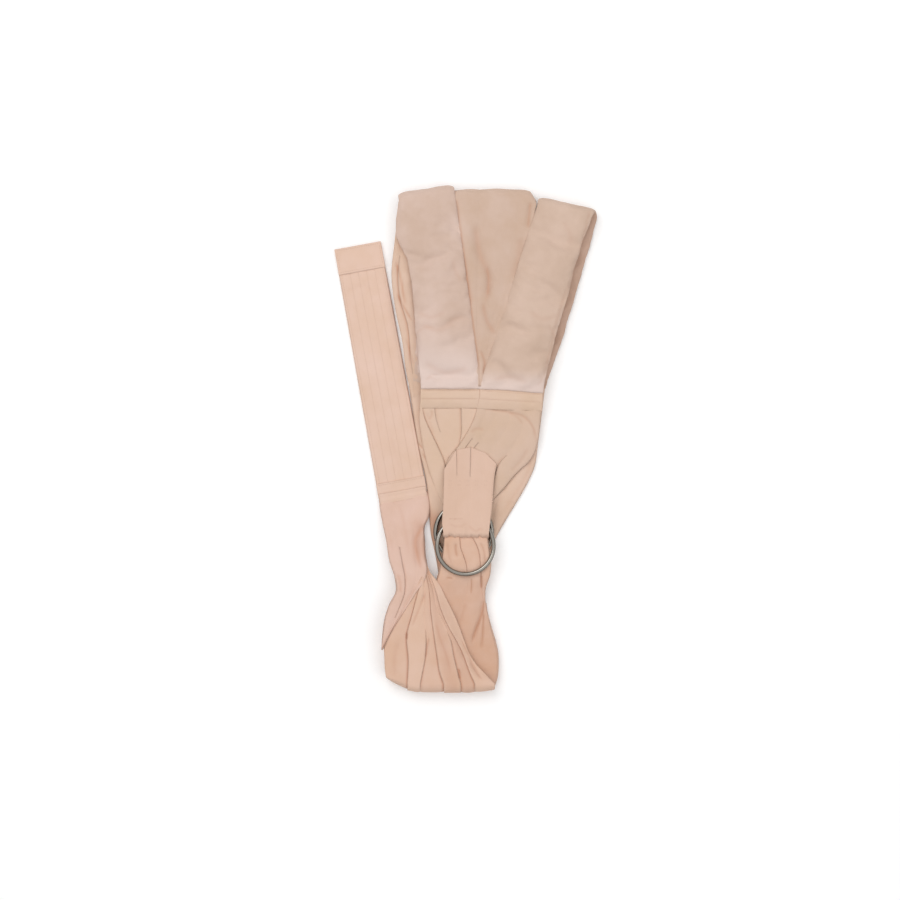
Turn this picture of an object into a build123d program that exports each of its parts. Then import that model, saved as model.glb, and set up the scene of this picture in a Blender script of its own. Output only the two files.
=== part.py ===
from build123d import *

import os
from math import cos, hypot, radians, sin, sqrt, tan

# Soft baby carrier of the ring sling kind, folded flat and lying on its back.
#
# Millimetres, +Z up, length along Y. The cloth body is a loop: two padded shoulder
# bands with a centre panel between them fold over at the top, their front run ends in
# pleated fans and a strap that holds two round rings, and their back run gathers to
# the rings. The cloth goes up through the rings and leaves as the tail, which folds
# back at the bottom and ends in a quilted strap.

# Rings
ring_bore = 76.0
ring_wire = 6.5
ring_x = -1.0
ring_splay = 5.0  # degrees that the front ring stands off the rear one
ring_lift = 10.0  # degrees that the front ring can still lift
ring_gap = 0.4  # between the two wires
rear_shift_x, rear_shift_y = -2.4, 20.0  # the rear ring's place against the front one's
side_clearance = 1.6  # between the ring strap's edges and the wire

# Cloth, foam and thread
ply = 1.4  # strap cloth
cover_ply = 1.2
foam = 8.0
lining_ply = 1.2
panel_ply = 1.6
gathered = 5.0  # body cloth gathered on the underside
core_ply = 2.4  # interlining of the tail strap
thread = 0.5
tack_count, tack_length, tack_width = 5, 6.0, 1.6
binding_rise = 7.4  # the cross bands' top above their underside
rest_gap = 0.2  # between layers that lie on each other
loop_gap = 6.2  # between the front and the back run of the loop

# Plan of the loop
seam_x, seam_y = 20.5, 72.0  # where the two bands meet at their lower ends
left_band_width = 86.0
right_band_width = 91.0
band_length = 276.0  # seam to fold line, along Y at the middle
left_lean = 7.2  # degrees
right_lean = 16.4
left_fold_width = 81.6
right_fold_width = 84.0
right_fold_lean = 11.8  # the fold lines' own lean
left_fold_lean = 7.2
right_fold_drop = 16.0  # the right fold line's middle below the left one's
back_left_shift = -17.0  # the back run's lower ends against the front run's
back_right_shift = 4.0
back_band_width = 82.0
cross_band_height = 27.0
fan_length = 81.0
strap_length = 108.5
strap_top_width = 76.0
strap_top_x = 6.0
fold_above_centre = 12.0  # the strap's fold above the rings' centre

# Tail
tail_drop = 213.5  # rings' centre to the tail's fold
run_height = 12.9
run_gap = 0.2
neck_foot_up = 33.75  # neck's foot above the lower run's top
neck_length = 118.5  # from its foot to the strap's seam, along Y
neck_foot_width = 51.0
neck_gap = 8.5  # between the neck's foot and the rings
tail_side_gap = 1.5  # between the strap and the body beside it
tail_width = 72.0
tail_end_width = 69.0
tail_length = 371.0
tail_lean = 10.3
tail_rows = 6
hem_length = 38.0
seam_band_length = 22.0

# Levels and places that follow from them
band_stack = cover_ply + foam + lining_ply
loop_height = 2 * band_stack + loop_gap
fold_radius = loop_height / 2
wire_r = ring_wire / 2
ring_r = ring_bore / 2 + wire_r
strap_fold_y = seam_y - cross_band_height - fan_length - strap_length
strap_top_y = strap_fold_y + strap_length
ring_y = strap_fold_y - fold_above_centre
strap_base = gathered + rest_gap
rear_z = strap_base + ply + rest_gap + wire_r
front_z = rear_z + ring_wire + ring_gap
front_reach = sqrt((ring_bore / 2) ** 2 - fold_above_centre**2)
rear_reach = sqrt((ring_bore / 2) ** 2 - (fold_above_centre - rear_shift_y) ** 2) - abs(rear_shift_x)
strap_half = min(front_reach, rear_reach) - side_clearance
wire_reach = ring_r - sqrt(ring_r**2 - strap_half**2)
lift_room = wire_reach * sin(radians(ring_splay + ring_lift)) + 1.1
pocket_top = front_z + wire_r + lift_room
strap_top = pocket_top + ply
fold_corner = 5.0  # radius of the strap's turns in the rings
pivot_y = ring_y + ring_r
tail_fold_y = ring_y - tail_drop
tail_hinge_z = run_height + run_gap / 2
run_top_y = ring_y - ring_r - 37.0
neck_foot_y = run_top_y + neck_foot_up
strap_seam_y = neck_foot_y + neck_length
ring_side = ring_r + wire_r
neck_right = ring_x - ring_side - neck_gap
neck_left = neck_right - neck_foot_width
cross_y = seam_y - cross_band_height
panel_front_z = loop_height - band_stack / 2 - panel_ply / 2
panel_back_z = band_stack / 2 - panel_ply / 2
back_left_x = seam_x - left_band_width + back_left_shift
back_right_x = seam_x + right_band_width + back_right_shift
tail_slope = tan(radians(tail_lean))
tail_edge_x = back_left_x - tail_side_gap + (seam_y - strap_seam_y) * tail_slope
strap_seam_x = tail_edge_x - tail_width / 2 / cos(radians(tail_lean))
strap_z = 2 * cover_ply + core_ply
seam_top = strap_z + cover_ply
binding_z = loop_height - band_stack - 3.4  # underside of the cross bands' lower edge
rear_top_y = ring_y + rear_shift_y + ring_side
pocket_end_y = rear_top_y + 20.0
strap_level = strap_base + 8.6  # the strap's middle where its plies join


def outline(points):
    """A flat face with straight sides through the points."""
    return make_face(Polyline(*points, close=True))


def slab(face, low, high):
    """A flat face of the XY plane as a solid from one level to another."""
    return extrude(Pos(0, 0, low) * face, amount=high - low, dir=(0, 0, 1))


def side_cut(face, half_width=400.0):
    """A face drawn as (Y, Z) and run through the whole width."""
    placed = Plane.YZ * face
    return extrude(Pos(-half_width, 0, 0) * placed, amount=2 * half_width, dir=(1, 0, 0))


def turned_fold(a, b, outer, inner, level):
    """Half a tube along the line from a to b that bulges away from the runs."""
    length = hypot(b[0] - a[0], b[1] - a[1])
    along = ((b[0] - a[0]) / length, (b[1] - a[1]) / length, 0)
    outward = (-along[1], along[0], 0)
    plane = Plane(origin=(a[0], a[1], level), x_dir=outward, z_dir=along)
    half = Rectangle(outer, 2 * outer, align=(Align.MIN, Align.CENTER))
    return extrude(plane * ((Circle(outer) - Circle(inner)) & half), amount=length)


def hairpin(front, back, a, b, outer_inset, thickness):
    """One layer of a folded band: a front slab, a back slab and the fold between."""
    low, high = outer_inset, outer_inset + thickness
    outer = fold_radius - low
    layer = slab(outline(front), loop_height - high, loop_height - low)
    layer += slab(outline(back), low, high)
    return layer + turned_fold(a, b, outer, outer - thickness, fold_radius)


def fold_ends(middle, width, lean):
    """Both ends of a band's fold line, which lies across the band's lean."""
    dx, dy = width / 2 * cos(radians(lean)), width / 2 * sin(radians(lean))
    return (middle[0] - dx, middle[1] - dy), (middle[0] + dx, middle[1] + dy)


def beside_tail(up, inset):
    """A point of the body's left edge, at a height above the seam, beside the tail strap."""
    return (back_left_x - up * tail_slope + inset, seam_y + up)


# Each band as (front outline, back outline, fold line's two ends)
fold_y = seam_y + band_length
left_fold_x = seam_x - left_band_width / 2 - band_length * sin(radians(left_lean))
right_fold_x = seam_x + right_band_width / 2 + band_length * sin(radians(right_lean))
left_a, left_b = fold_ends((left_fold_x, fold_y), left_fold_width, left_fold_lean)
right_a, right_b = fold_ends((right_fold_x, fold_y - right_fold_drop), right_fold_width, -right_fold_lean)
left_front = [left_a, left_b, (seam_x, seam_y), (seam_x - left_band_width, seam_y)]
right_front = [right_a, right_b, (seam_x + right_band_width, seam_y - 6), (seam_x, seam_y)]
left_back = [
    left_a,
    left_b,
    (back_left_x + back_band_width, seam_y),
    (back_left_x, seam_y),
    beside_tail(70, 3),
    beside_tail(118, 1),
    beside_tail(165, 3),
    beside_tail(215, 16),
]
right_back = [
    right_a,
    right_b,
    (back_right_x, seam_y),
    (back_right_x - back_band_width, seam_y),
]
bands = {
    "left_band": (left_front, left_back, left_a, left_b),
    "right_band": (right_front, right_back, right_a, right_b),
}


def band_layers():
    """Cover, foam and lining of both padded bands, outside to inside."""
    made = {}
    for name, (front, back, a, b) in bands.items():
        made[f"{name}_cover"] = hairpin(front, back, a, b, 0, cover_ply)
        made[f"{name}_foam"] = hairpin(front, back, a, b, cover_ply, foam)
        made[f"{name}_lining"] = hairpin(front, back, a, b, cover_ply + foam, lining_ply)
    return made


def centre_panel():
    """The unpadded cloth between the bands, folded over at the top as they are."""
    outer = (panel_front_z + panel_ply - panel_back_z) / 2
    top_a = (left_b[0] + 2, left_b[1] - 5)
    top_b = (right_a[0] - 8, left_b[1] - 5)
    corner = (right_a[0] - 3, right_a[1] - 8)
    front = [top_a, top_b, corner, (seam_x + 1, seam_y + 5), (seam_x - 0.5, seam_y + 5)]
    back = [
        top_a,
        top_b,
        corner,
        (back_right_x - back_band_width - 1, seam_y),
        (back_left_x + back_band_width + 1, seam_y),
    ]
    fold = turned_fold(top_a, top_b, outer, outer - panel_ply, panel_back_z + outer)
    front_run = slab(outline(front), panel_front_z, panel_front_z + panel_ply)
    back_run = slab(outline(back), panel_back_z, panel_back_z + panel_ply)
    front_run -= slab(outline(left_front), 0, loop_height) + slab(outline(right_front), 0, loop_height)
    back_run -= slab(outline(left_back), 0, loop_height) + slab(outline(right_back), 0, loop_height)
    return front_run + back_run + fold


def cross_bands():
    """Binding across the bands' lower ends, one for each side."""
    high = binding_z + binding_rise
    profile = [
        (seam_y + 10, binding_z),
        (seam_y + 10, high),
        (seam_y - 7, high),
        (cross_y - 4, binding_z + 3.4),
        (cross_y - 4, binding_z),
    ]
    solid = side_cut(outline(profile))
    right_edge = seam_x + right_band_width
    left = outline(
        [
            (seam_x - left_band_width, seam_y),
            (seam_x - 0.3, seam_y),
            (seam_x - 3.5, cross_y),
            (seam_x - left_band_width - 2, cross_y),
        ]
    )
    right = outline(
        [
            (seam_x, seam_y),
            (right_edge, seam_y - 6),
            (right_edge - 1, cross_y - 4),
            (seam_x - 3.2, cross_y),
        ]
    )
    return {
        "left_cross_band": solid & slab(left, 0, loop_height),
        "right_cross_band": solid & slab(right, 0, loop_height),
    }


def fans():
    """The pleated panels that narrow from the bands to the ring strap."""
    top = binding_z - rest_gap
    foot = strap_base + 0.1
    knee = strap_top_y - 4
    head_y = cross_y + 8
    lower = side_cut(outline([(head_y, top - 5.4), (head_y, top - 2.8), (knee, foot + 2.6), (knee, foot)]))
    upper = side_cut(
        outline(
            [
                (head_y, top - 2.6),
                (head_y, top),
                (knee, foot + 5.0),
                (knee - 30, foot + 2.6),
                (knee - 30, foot),
                (knee, foot + 2.8),
            ]
        )
    )
    left_x = seam_x - left_band_width - 2
    right_x = seam_x + right_band_width - 1
    left = outline(
        [
            (left_x, head_y),
            (seam_x - 4, head_y),
            (seam_x - 8, cross_y - 11),
            (seam_x - 24, cross_y - 43),
            (strap_top_x - strap_top_width / 2 + 5, strap_top_y + 6),
            (strap_top_x - strap_top_width / 2 - 20, strap_top_y + 22),
            (left_x - 4, cross_y - 30),
        ]
    )
    right = outline(
        [
            (seam_x - 3, head_y),
            (right_x, head_y),
            (right_x - 3, cross_y - 22),
            (right_x - 8, cross_y - 52),
            (strap_top_x + strap_top_width / 2 + 8, strap_top_y - 30),
            (strap_top_x + 6, strap_top_y - 32),
            (strap_top_x - strap_top_width / 2 + 2, strap_top_y - 24),
            (strap_top_x - strap_top_width / 2, strap_top_y + 4),
            (seam_x - 24, cross_y - 43),
            (seam_x - 8, cross_y - 11),
        ]
    )
    return {"left_fan": lower & slab(left, 0, loop_height), "right_fan": upper & slab(right, 0, loop_height)}


def strap_plan(inset=0.0):
    """Plan of the ring strap, from its sewn top down to the fold in the rings."""
    half = strap_top_width / 2 - inset
    fold_half = strap_half - inset
    return outline(
        [
            (strap_top_x - half, strap_top_y - inset),
            (strap_top_x + half, strap_top_y - inset),
            (ring_x + fold_half + 5, pivot_y + 6),
            (ring_x + fold_half, strap_fold_y - 1),
            (ring_x - fold_half, strap_fold_y - 1),
            (ring_x - fold_half - 1, pivot_y + 6),
        ]
    )


def fold_edges(solid):
    """The two long edges of the strap's fold, which is the solid's lowest side in Y."""
    return solid.faces().sort_by(Axis.Y)[0].edges().filter_by(Axis.X)


def ring_strap():
    """Two plies sewn together above, open below as the pocket that holds the rings."""
    outer = side_cut(
        outline(
            [
                (strap_fold_y, strap_base),
                (rear_top_y + 5, strap_base),
                (pocket_end_y - 4, strap_level - 5.4),
                (strap_top_y, strap_level - 3),
                (strap_top_y, strap_level + 1.6),
                (pocket_end_y, strap_level + 2.6),
                (pivot_y + 4, strap_top),
                (strap_fold_y, strap_top),
            ]
        )
    )
    pocket = side_cut(
        outline(
            [
                (strap_fold_y + ply, strap_base + ply),
                (rear_top_y + 4, strap_base + ply),
                (pocket_end_y - 3, strap_level - 1.4),
                (pivot_y + 5, pocket_top),
                (strap_fold_y + ply, pocket_top),
            ]
        )
    )
    outer = fillet(fold_edges(outer), fold_corner)
    pocket = fillet(fold_edges(pocket), fold_corner - ply)
    return (outer - pocket) & slab(strap_plan(), 0, strap_top + 1)


def ring(rear, swell=0.0):
    """One welded round ring in its place, or the room that it takes."""
    shape = Torus(ring_r, wire_r + swell)
    if rear:
        return Pos(ring_x + rear_shift_x, ring_y + rear_shift_y, rear_z) * shape
    tilt = radians(ring_splay)
    centre = (ring_x, pivot_y - ring_r * cos(tilt), front_z + ring_r * sin(tilt))
    return Pos(*centre) * Rot(X=-ring_splay) * shape


def back_panel():
    """The body cloth of the back run, gathered from the bands' ends to the tail."""
    left = [
        (back_left_x, seam_y),
        beside_tail(-39, 2),
        beside_tail(-87, 2),
        beside_tail(strap_seam_y + 6 - seam_y, 3),
        (ring_x - ring_side - 3, ring_y + 40),
        (ring_x - ring_side + 2, ring_y + 6),
        (ring_x - ring_side + 4, ring_y - 42),
        (ring_x - ring_side + 8, run_top_y),
    ]
    right = [
        (ring_x + ring_side - 12, run_top_y),
        (ring_x + ring_side - 8, ring_y - 42),
        (ring_x + ring_side - 1, ring_y),
        (ring_x + ring_side + 16, ring_y + 34),
        (back_right_x - 36, ring_y + 68),
        (back_right_x - 20, ring_y + 103),
        (back_right_x - 12, cross_y - 62),
        (back_right_x - 8, cross_y - 27),
        (back_right_x, seam_y),
    ]
    return slab(outline(left + right), 0, gathered)


def ring_throat():
    """The gathered cloth that comes up through the rear ring and under the front one."""
    top = front_z + 2 * ring_r * sin(radians(ring_splay)) - wire_r - rest_gap - 0.3
    start = strap_fold_y - 2.5
    half = strap_half - 3
    low = gathered
    profile = side_cut(
        outline(
            [
                (start, low),
                (start, top - 6),
                (start - 6, top - 2),
                (start - 18, top),
                (ring_y - ring_r - 6, top),
                (ring_y - ring_r - 23, top - 5),
                (run_top_y, run_height),
                (run_top_y, low),
            ]
        )
    )
    plan = outline(
        [
            (ring_x - half, start),
            (ring_x + half, start),
            (ring_x + half, ring_y - ring_r + 10),
            (ring_x + half + 3, ring_y - ring_r - 3),
            (ring_x + half - 2, run_top_y),
            (ring_x - half + 8, run_top_y),
            (ring_x - half, ring_y - ring_r - 19),
            (ring_x - half - 4, ring_y - ring_r - 4),
            (ring_x - half, ring_y - ring_r + 11),
        ]
    )
    body = profile & slab(plan, 0, loop_height)
    return body - ring(rear=True, swell=0.3) - ring(rear=False, swell=0.3)


def lower_run():
    """The tail's run from the rings down to its fold."""
    end = [
        Polyline(
            (tail_fold_y, run_height),
            (run_top_y, run_height),
            (run_top_y, 0),
            (tail_fold_y + run_height, 0),
        ),
        CenterArc((tail_fold_y + run_height, run_height), run_height, 180, 90),
    ]
    span = run_top_y - tail_fold_y
    plan = outline(
        [
            (ring_x - strap_half - 3, run_top_y),
            (ring_x + strap_half - 3, run_top_y),
            (ring_x + strap_half, tail_fold_y + 0.79 * span),
            (ring_x + 42, tail_fold_y + 0.52 * span),
            (ring_x + 48, tail_fold_y + 0.28 * span),
            (ring_x + 48, tail_fold_y + 0.14 * span),
            (ring_x + 42, tail_fold_y),
            (ring_x - 110, tail_fold_y),
            (ring_x - 116, tail_fold_y + 0.16 * span),
            (ring_x - 114, tail_fold_y + 0.44 * span),
            (ring_x - 72, tail_fold_y + 0.76 * span),
        ]
    )
    return side_cut(make_face(Curve() + end)) & slab(plan, 0, run_height)


def upper_run():
    """The tail's run that comes back from the fold and narrows to the neck."""
    low = run_height + run_gap
    end = [
        Polyline(
            (tail_fold_y + run_height, low + run_height),
            (neck_foot_y, low + run_height - 2),
            (neck_foot_y, low),
            (tail_fold_y, low),
        ),
        CenterArc((tail_fold_y + run_height, low), run_height, 90, 90),
    ]
    span = neck_foot_y - tail_fold_y
    plan = outline(
        [
            (neck_left, neck_foot_y),
            (neck_right, neck_foot_y),
            (ring_x - strap_half + 10, run_top_y - 5),
            (ring_x - 7, tail_fold_y + 0.52 * span),
            (ring_x + 14, tail_fold_y + 0.25 * span),
            (ring_x + 42, tail_fold_y + 0.05 * span),
            (ring_x + 40, tail_fold_y),
            (ring_x - 108, tail_fold_y),
            (ring_x - 117, tail_fold_y + 0.12 * span),
            (ring_x - 122, tail_fold_y + 0.4 * span),
            (ring_x - 118, tail_fold_y + 0.63 * span),
            (neck_left - 5, tail_fold_y + 0.84 * span),
            (neck_left + 2, tail_fold_y + 0.91 * span),
        ]
    )
    return side_cut(make_face(Curve() + end)) & slab(plan, low, low + run_height)


def tail_place():
    """Where the tail strap's own frame stands: its seam's middle, +Y along the strap."""
    return Pos(strap_seam_x, strap_seam_y, 0) * Rot(Z=tail_lean)


def tail_neck():
    """The gathered neck between the upper run and the quilted strap."""
    foot_z = run_height + run_gap
    foot_height = run_height - 2
    centre = ((neck_left + neck_right) / 2, neck_foot_y, foot_z + foot_height / 2)
    foot_plane = Plane(origin=centre, x_dir=(1, 0, 0), z_dir=(0, -1, 0))
    foot_face = foot_plane * Rectangle(neck_foot_width, foot_height)
    head_plane = Plane(origin=(0, -rest_gap, seam_top / 2), x_dir=(1, 0, 0), z_dir=(0, -1, 0))
    head_face = tail_place() * (head_plane * Rectangle(tail_width, seam_top))
    return loft([head_face, foot_face], ruled=True)


def strap_taper(y0, y1, inset=0.0):
    """Plan of a stretch of the tail strap in its own frame."""

    def half(y):
        return (tail_width + (tail_end_width - tail_width) * y / tail_length) / 2 - inset

    return outline([(-half(y0), y0), (half(y0), y0), (half(y1), y1), (-half(y1), y1)])


def tail_strap_layers():
    """Plies, interlining, hem and seam band of the quilted end strap."""
    whole = strap_taper(rest_gap, tail_length)
    levels = [0, cover_ply, cover_ply + core_ply, strap_z]
    made = {
        "tail_bottom_ply": slab(whole, levels[0], levels[1]),
        "tail_interlining": slab(whole, levels[1], levels[2]),
        "tail_top_ply": slab(whole, levels[2], levels[3]),
        "tail_end_hem": slab(strap_taper(tail_length - hem_length, tail_length), strap_z, seam_top),
        "tail_seam_band": slab(strap_taper(rest_gap, seam_band_length), strap_z, seam_top),
    }
    return {name: tail_place() * solid for name, solid in made.items()}


def tail_stitching():
    """Parallel rows of top stitching that quilt the strap, from seam band to hem."""
    start, stop = seam_band_length + 1, tail_length - hem_length - 1
    middle = (start + stop) / 2
    pitch = (tail_end_width - 8) / (tail_rows - 1)
    rows = []
    for k in range(tail_rows):
        x = (k - (tail_rows - 1) / 2) * pitch
        rows.append(tail_place() * Pos(x, middle, strap_z + thread / 2) * Box(thread, stop - start, thread))
    return Compound(children=rows)


def cross_band_stitching():
    """Two rows of top stitching across the left and the right cross band."""
    low = binding_z + binding_rise
    rows = []
    for up in (3.0, 5.5):
        left = Pos(seam_x - left_band_width / 2, seam_y - up, low + thread / 2)
        rows.append(left * Box(left_band_width - 6, thread, thread))
        right = Pos(seam_x + right_band_width / 2 + 1, seam_y - up - 3.0, low + thread / 2)
        rows.append(right * Rot(Z=-3.8) * Box(right_band_width - 8, thread, thread))
    return Compound(children=rows)


def strap_bartacks():
    """Rows of bar tacks that close the ring pocket, sewn on the strap's top ply."""
    slope = 1.0 / (strap_top_y - pocket_end_y)
    pitch = 2 * strap_half / tack_count
    tacks = []
    for row in (4.0, 10.0):
        z = strap_level + 2.6 - row * slope + thread / 2 + 0.05
        for k in range(tack_count):
            x = ring_x + 2 + (k - (tack_count - 1) / 2) * pitch
            tacks.append(Pos(x, pocket_end_y + row, z) * Box(tack_length, tack_width, thread))
    return Compound(children=tacks)


def main():
    parts = {
        "ring_front": ring(rear=False),
        "ring_rear": ring(rear=True),
        "ring_strap": ring_strap(),
        "ring_strap_bartacks": strap_bartacks(),
        "centre_panel": centre_panel(),
        "cross_band_stitching": cross_band_stitching(),
        "back_panel": back_panel(),
        "ring_throat": ring_throat(),
        "lower_run": lower_run(),
        "upper_run": upper_run(),
        "tail_neck": tail_neck(),
        "tail_stitching": tail_stitching(),
    }
    parts.update(band_layers())
    parts.update(cross_bands())
    parts.update(fans())
    parts.update(tail_strap_layers())
    os.makedirs("parts", exist_ok=True)
    low, high = [1e9] * 3, [-1e9] * 3
    for name, shape in parts.items():
        export_step(shape, f"parts/{name}.step")
        box = shape.bounding_box()
        low = [min(a, b) for a, b in zip(low, tuple(box.min))]
        high = [max(a, b) for a, b in zip(high, tuple(box.max))]
    print("overall low", [round(v, 2) for v in low], "high", [round(v, 2) for v in high])
    places = {
        "front ring's hinge": (ring_x, pivot_y, front_z),
        "rear ring's centre": (ring_x + rear_shift_x, ring_y + rear_shift_y, rear_z),
        "tail's hinge": (ring_x, tail_fold_y, tail_hinge_z),
        "tail strap's hinge": (strap_seam_x, strap_seam_y, seam_top),
    }
    for name, place in places.items():
        print(name, [round(v, 3) for v in place])


main()
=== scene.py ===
import math

import bmesh
import bpy
import numpy as np
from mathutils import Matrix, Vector, noise
from mathutils.bvhtree import BVHTree
from mathutils.kdtree import KDTree


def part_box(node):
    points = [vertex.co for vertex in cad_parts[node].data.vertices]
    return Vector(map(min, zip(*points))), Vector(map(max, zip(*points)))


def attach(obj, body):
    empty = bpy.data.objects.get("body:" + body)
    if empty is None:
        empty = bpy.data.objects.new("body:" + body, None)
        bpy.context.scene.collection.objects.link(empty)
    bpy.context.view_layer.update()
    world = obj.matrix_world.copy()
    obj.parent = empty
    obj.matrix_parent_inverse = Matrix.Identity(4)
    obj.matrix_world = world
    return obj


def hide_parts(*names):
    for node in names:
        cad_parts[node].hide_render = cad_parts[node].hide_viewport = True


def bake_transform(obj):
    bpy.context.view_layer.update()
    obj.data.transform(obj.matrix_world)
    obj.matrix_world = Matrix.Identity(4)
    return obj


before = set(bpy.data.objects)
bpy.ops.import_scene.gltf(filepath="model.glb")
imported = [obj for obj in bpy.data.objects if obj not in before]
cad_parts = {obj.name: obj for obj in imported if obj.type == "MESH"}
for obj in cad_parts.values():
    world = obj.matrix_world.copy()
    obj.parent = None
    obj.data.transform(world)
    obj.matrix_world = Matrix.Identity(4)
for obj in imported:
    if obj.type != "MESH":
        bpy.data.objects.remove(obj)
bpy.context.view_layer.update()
mm = 0.001


def nodeBox(node):  # a CAD node's box in millimetres
    low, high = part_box(node)
    return np.array(low) / mm, np.array(high) / mm


# lines, grids and meshes
def smoothLine(points, count):  # smooth curve through the points, even along its length
    p = np.array(points, float)
    d = np.r_[0, np.cumsum(np.linalg.norm(np.diff(p, axis=0), axis=1))]
    d /= d[-1]
    t = np.linspace(0, 1, count)
    if len(p) == 2:
        return p[0] + (p[1] - p[0]) * t[:, None]
    m = np.gradient(p, d, axis=0)
    k = np.clip(np.searchsorted(d, t, side="right") - 1, 0, len(d) - 2)
    h = (d[k + 1] - d[k])[:, None]
    s = (t - d[k])[:, None] / h
    return (
        (2 * s**3 - 3 * s**2 + 1) * p[k]
        + (s**3 - 2 * s**2 + s) * h * m[k]
        + (3 * s**2 - 2 * s**3) * p[k + 1]
        + (s**3 - s**2) * h * m[k + 1]
    )


def nearLine(xy, points):  # distance to a line, and how far along it the nearest place is
    line = smoothLine(points, 25)
    a, ab = line[:-1], np.diff(line, axis=0)
    t = np.clip(((xy[:, None] - a) * ab).sum(2) / (ab * ab).sum(1), 0, 1)
    d = np.linalg.norm(xy[:, None] - (a + t[..., None] * ab), axis=2)
    k = d.argmin(1)
    rows = np.arange(len(xy))
    return d[rows, k], (k + t[rows, k]) / len(a)


def soft(x, a, b):  # smooth step from 0 at a to 1 at b
    t = np.clip((np.asarray(x, float) - a) / (b - a), 0, 1)
    return t * t * (3 - 2 * t)


def lumps(x, y, size, amount, seed=0.0):  # low soft unevenness of cloth
    return np.array([noise.noise(Vector((u / size, v / size, seed))) for u, v in zip(x, y)]) * amount


def flatAt(height):  # a level that is the same all over
    return lambda x, y: height + 0 * x


def levels(*pairs):  # a level that changes along Y
    ys, zs = np.array([p[0] for p in pairs], float), np.array([p[1] for p in pairs], float)
    order = np.argsort(ys)
    return lambda x, y: np.interp(y, ys[order], zs[order])


def rib(*line, **more):  # a line that the cloth's panels hang between, with its lap and where that fades
    return {"line": line, **more}


def crease(depth, width, *line, **more):  # a valley pressed into the cloth; a negative depth swells it
    return {"line": line, "depth": depth, "width": width, **more}


def setPoints(piece, points):
    for v, p in zip(piece.data.vertices, points):
        v.co = p


def keepValues(piece, name, values):  # one number for each point, for the cloth's finish to read
    attribute = piece.data.attributes.new(name, "FLOAT", "POINT")
    attribute.data.foreach_set("value", np.asarray(values, np.float32))


def pointTree(points):
    tree = KDTree(len(points))
    for k, p in enumerate(points):
        tree.insert(p, k)
    tree.balance()
    return tree


def turnNormals(over, count, way):  # normals of cloth that goes round a fold, facing up, then under
    turned = np.linspace(0, math.pi, count)
    return [(0, way * math.sin(t), math.cos(t)) for t in turned[over:]]


def makeMesh(name, points, faces):
    mesh = bpy.data.meshes.new(name)
    mesh.from_pydata([tuple(p) for p in np.asarray(points) * mm], [], faces)
    bm = bmesh.new()
    bm.from_mesh(mesh)
    bmesh.ops.remove_doubles(bm, verts=bm.verts, dist=0.02 * mm)
    bmesh.ops.recalc_face_normals(bm, faces=bm.faces)
    bm.to_mesh(mesh)
    bm.free()
    mesh.shade_smooth()
    piece = bpy.data.objects.new(name, mesh)
    bpy.context.scene.collection.objects.link(piece)
    return piece


def foldShade(piece, points, fold):  # keeps how much painted shade each place gets, most in folds, under laps and on hidden sides
    tree = pointTree(np.asarray(points) * mm)
    keepValues(piece, "fold", [fold[tree.find(v.co)[1]] for v in piece.data.vertices])


def onlySelect(piece):
    bpy.ops.object.select_all(action="DESELECT")
    piece.select_set(True)
    bpy.context.view_layer.objects.active = piece


def applyModifier(piece, kind, name, **settings):
    onlySelect(piece)
    modifier = piece.modifiers.new(name, kind)
    for key, value in settings.items():
        setattr(modifier, key, value)
    bpy.ops.object.modifier_apply(modifier=name)


# pleated cloth
pleat = {"under": 0.15, "most": 1.2, "over": 0.35, "tuck": 0.2, "shadow": 2.6, "darkest": 1.5}


def pleats(ribs, lines, normals, step, bulges, tints=None):
    # columns of cloth between fold lines; a lap lifts one panel's edge over the next one
    columns, fold = [], []
    rows = len(normals)
    v = np.linspace(0, 1, rows)
    flat = np.zeros(rows)
    side = []
    for line in lines:
        tangent = np.gradient(line, axis=0)
        across = np.cross(normals, tangent)
        side.append(across / np.linalg.norm(across, axis=1)[:, None])
    lift = []
    for rib in ribs:
        start, stop = rib.get("fade", (-1.0, 2.0))
        ease = rib.get("ease", 0.12)
        grow = soft(v, start, start + ease) * (1 - soft(v, stop - ease, stop))
        lift.append(rib.get("lap", 0.0) * grow)
    for i in range(len(ribs) - 1):
        a, b = lines[i], lines[i + 1]
        first, last = i == 0, i == len(ribs) - 2
        width = np.linalg.norm(b - a, axis=1).max()
        count = max(3, int(width / step))
        here, ahead = lift[i], lift[i + 1]
        leftLift = flat if first else np.where(here < 0, -here, -pleat["under"] * here)
        rightLift = flat if last else np.where(ahead > 0, ahead, pleat["under"] * ahead)
        for k in range(count + 1):
            s = k / count
            if k == 0 and not first and not np.any(here):
                continue
            place = a + (b - a) * s
            rise = bulges[i] * math.sin(math.pi * s) ** 0.7 + leftLift * (1 - s) ** 4 + rightLift * s**4
            if k == 0 and not first:
                place = place - side[i] * np.clip(-here, 0, pleat["most"])[:, None] * pleat["over"]
            if k == count and not last:
                place = place + side[i + 1] * np.clip(ahead, 0, pleat["most"])[:, None] * pleat["over"]
            columns.append(place + normals * rise[:, None])
            # painted shade: darker beside each lap, where the upper panel's edge shades the lower one, plus
            # each panel's painted slope shade
            dark = np.full(rows, tints[i] * math.sin(math.pi * s) ** 0.5 if tints else 0.0)
            for lap, away, inside in ((here, width * s, not first), (-ahead, width * (1 - s), not last)):
                if inside and np.any(lap > 0):
                    depth = np.clip(lap, 0, pleat["darkest"]) / pleat["darkest"]
                    dark = dark + depth * math.exp(-((away / pleat["shadow"]) ** 2))
            fold.append(dark)
            if k == count and not last and np.any(ahead):
                tuck = np.abs(ahead)
                away = np.sign(ahead) * np.clip(tuck, 0, pleat["most"]) * pleat["tuck"]
                columns.append(b - side[i + 1] * away[:, None] + normals * (0.3 * tuck)[:, None])
                # painted shade inside the tuck
                fold.append(np.clip(tuck / pleat["most"], 0, 1))
    return np.array(columns), np.array(fold), side


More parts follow.
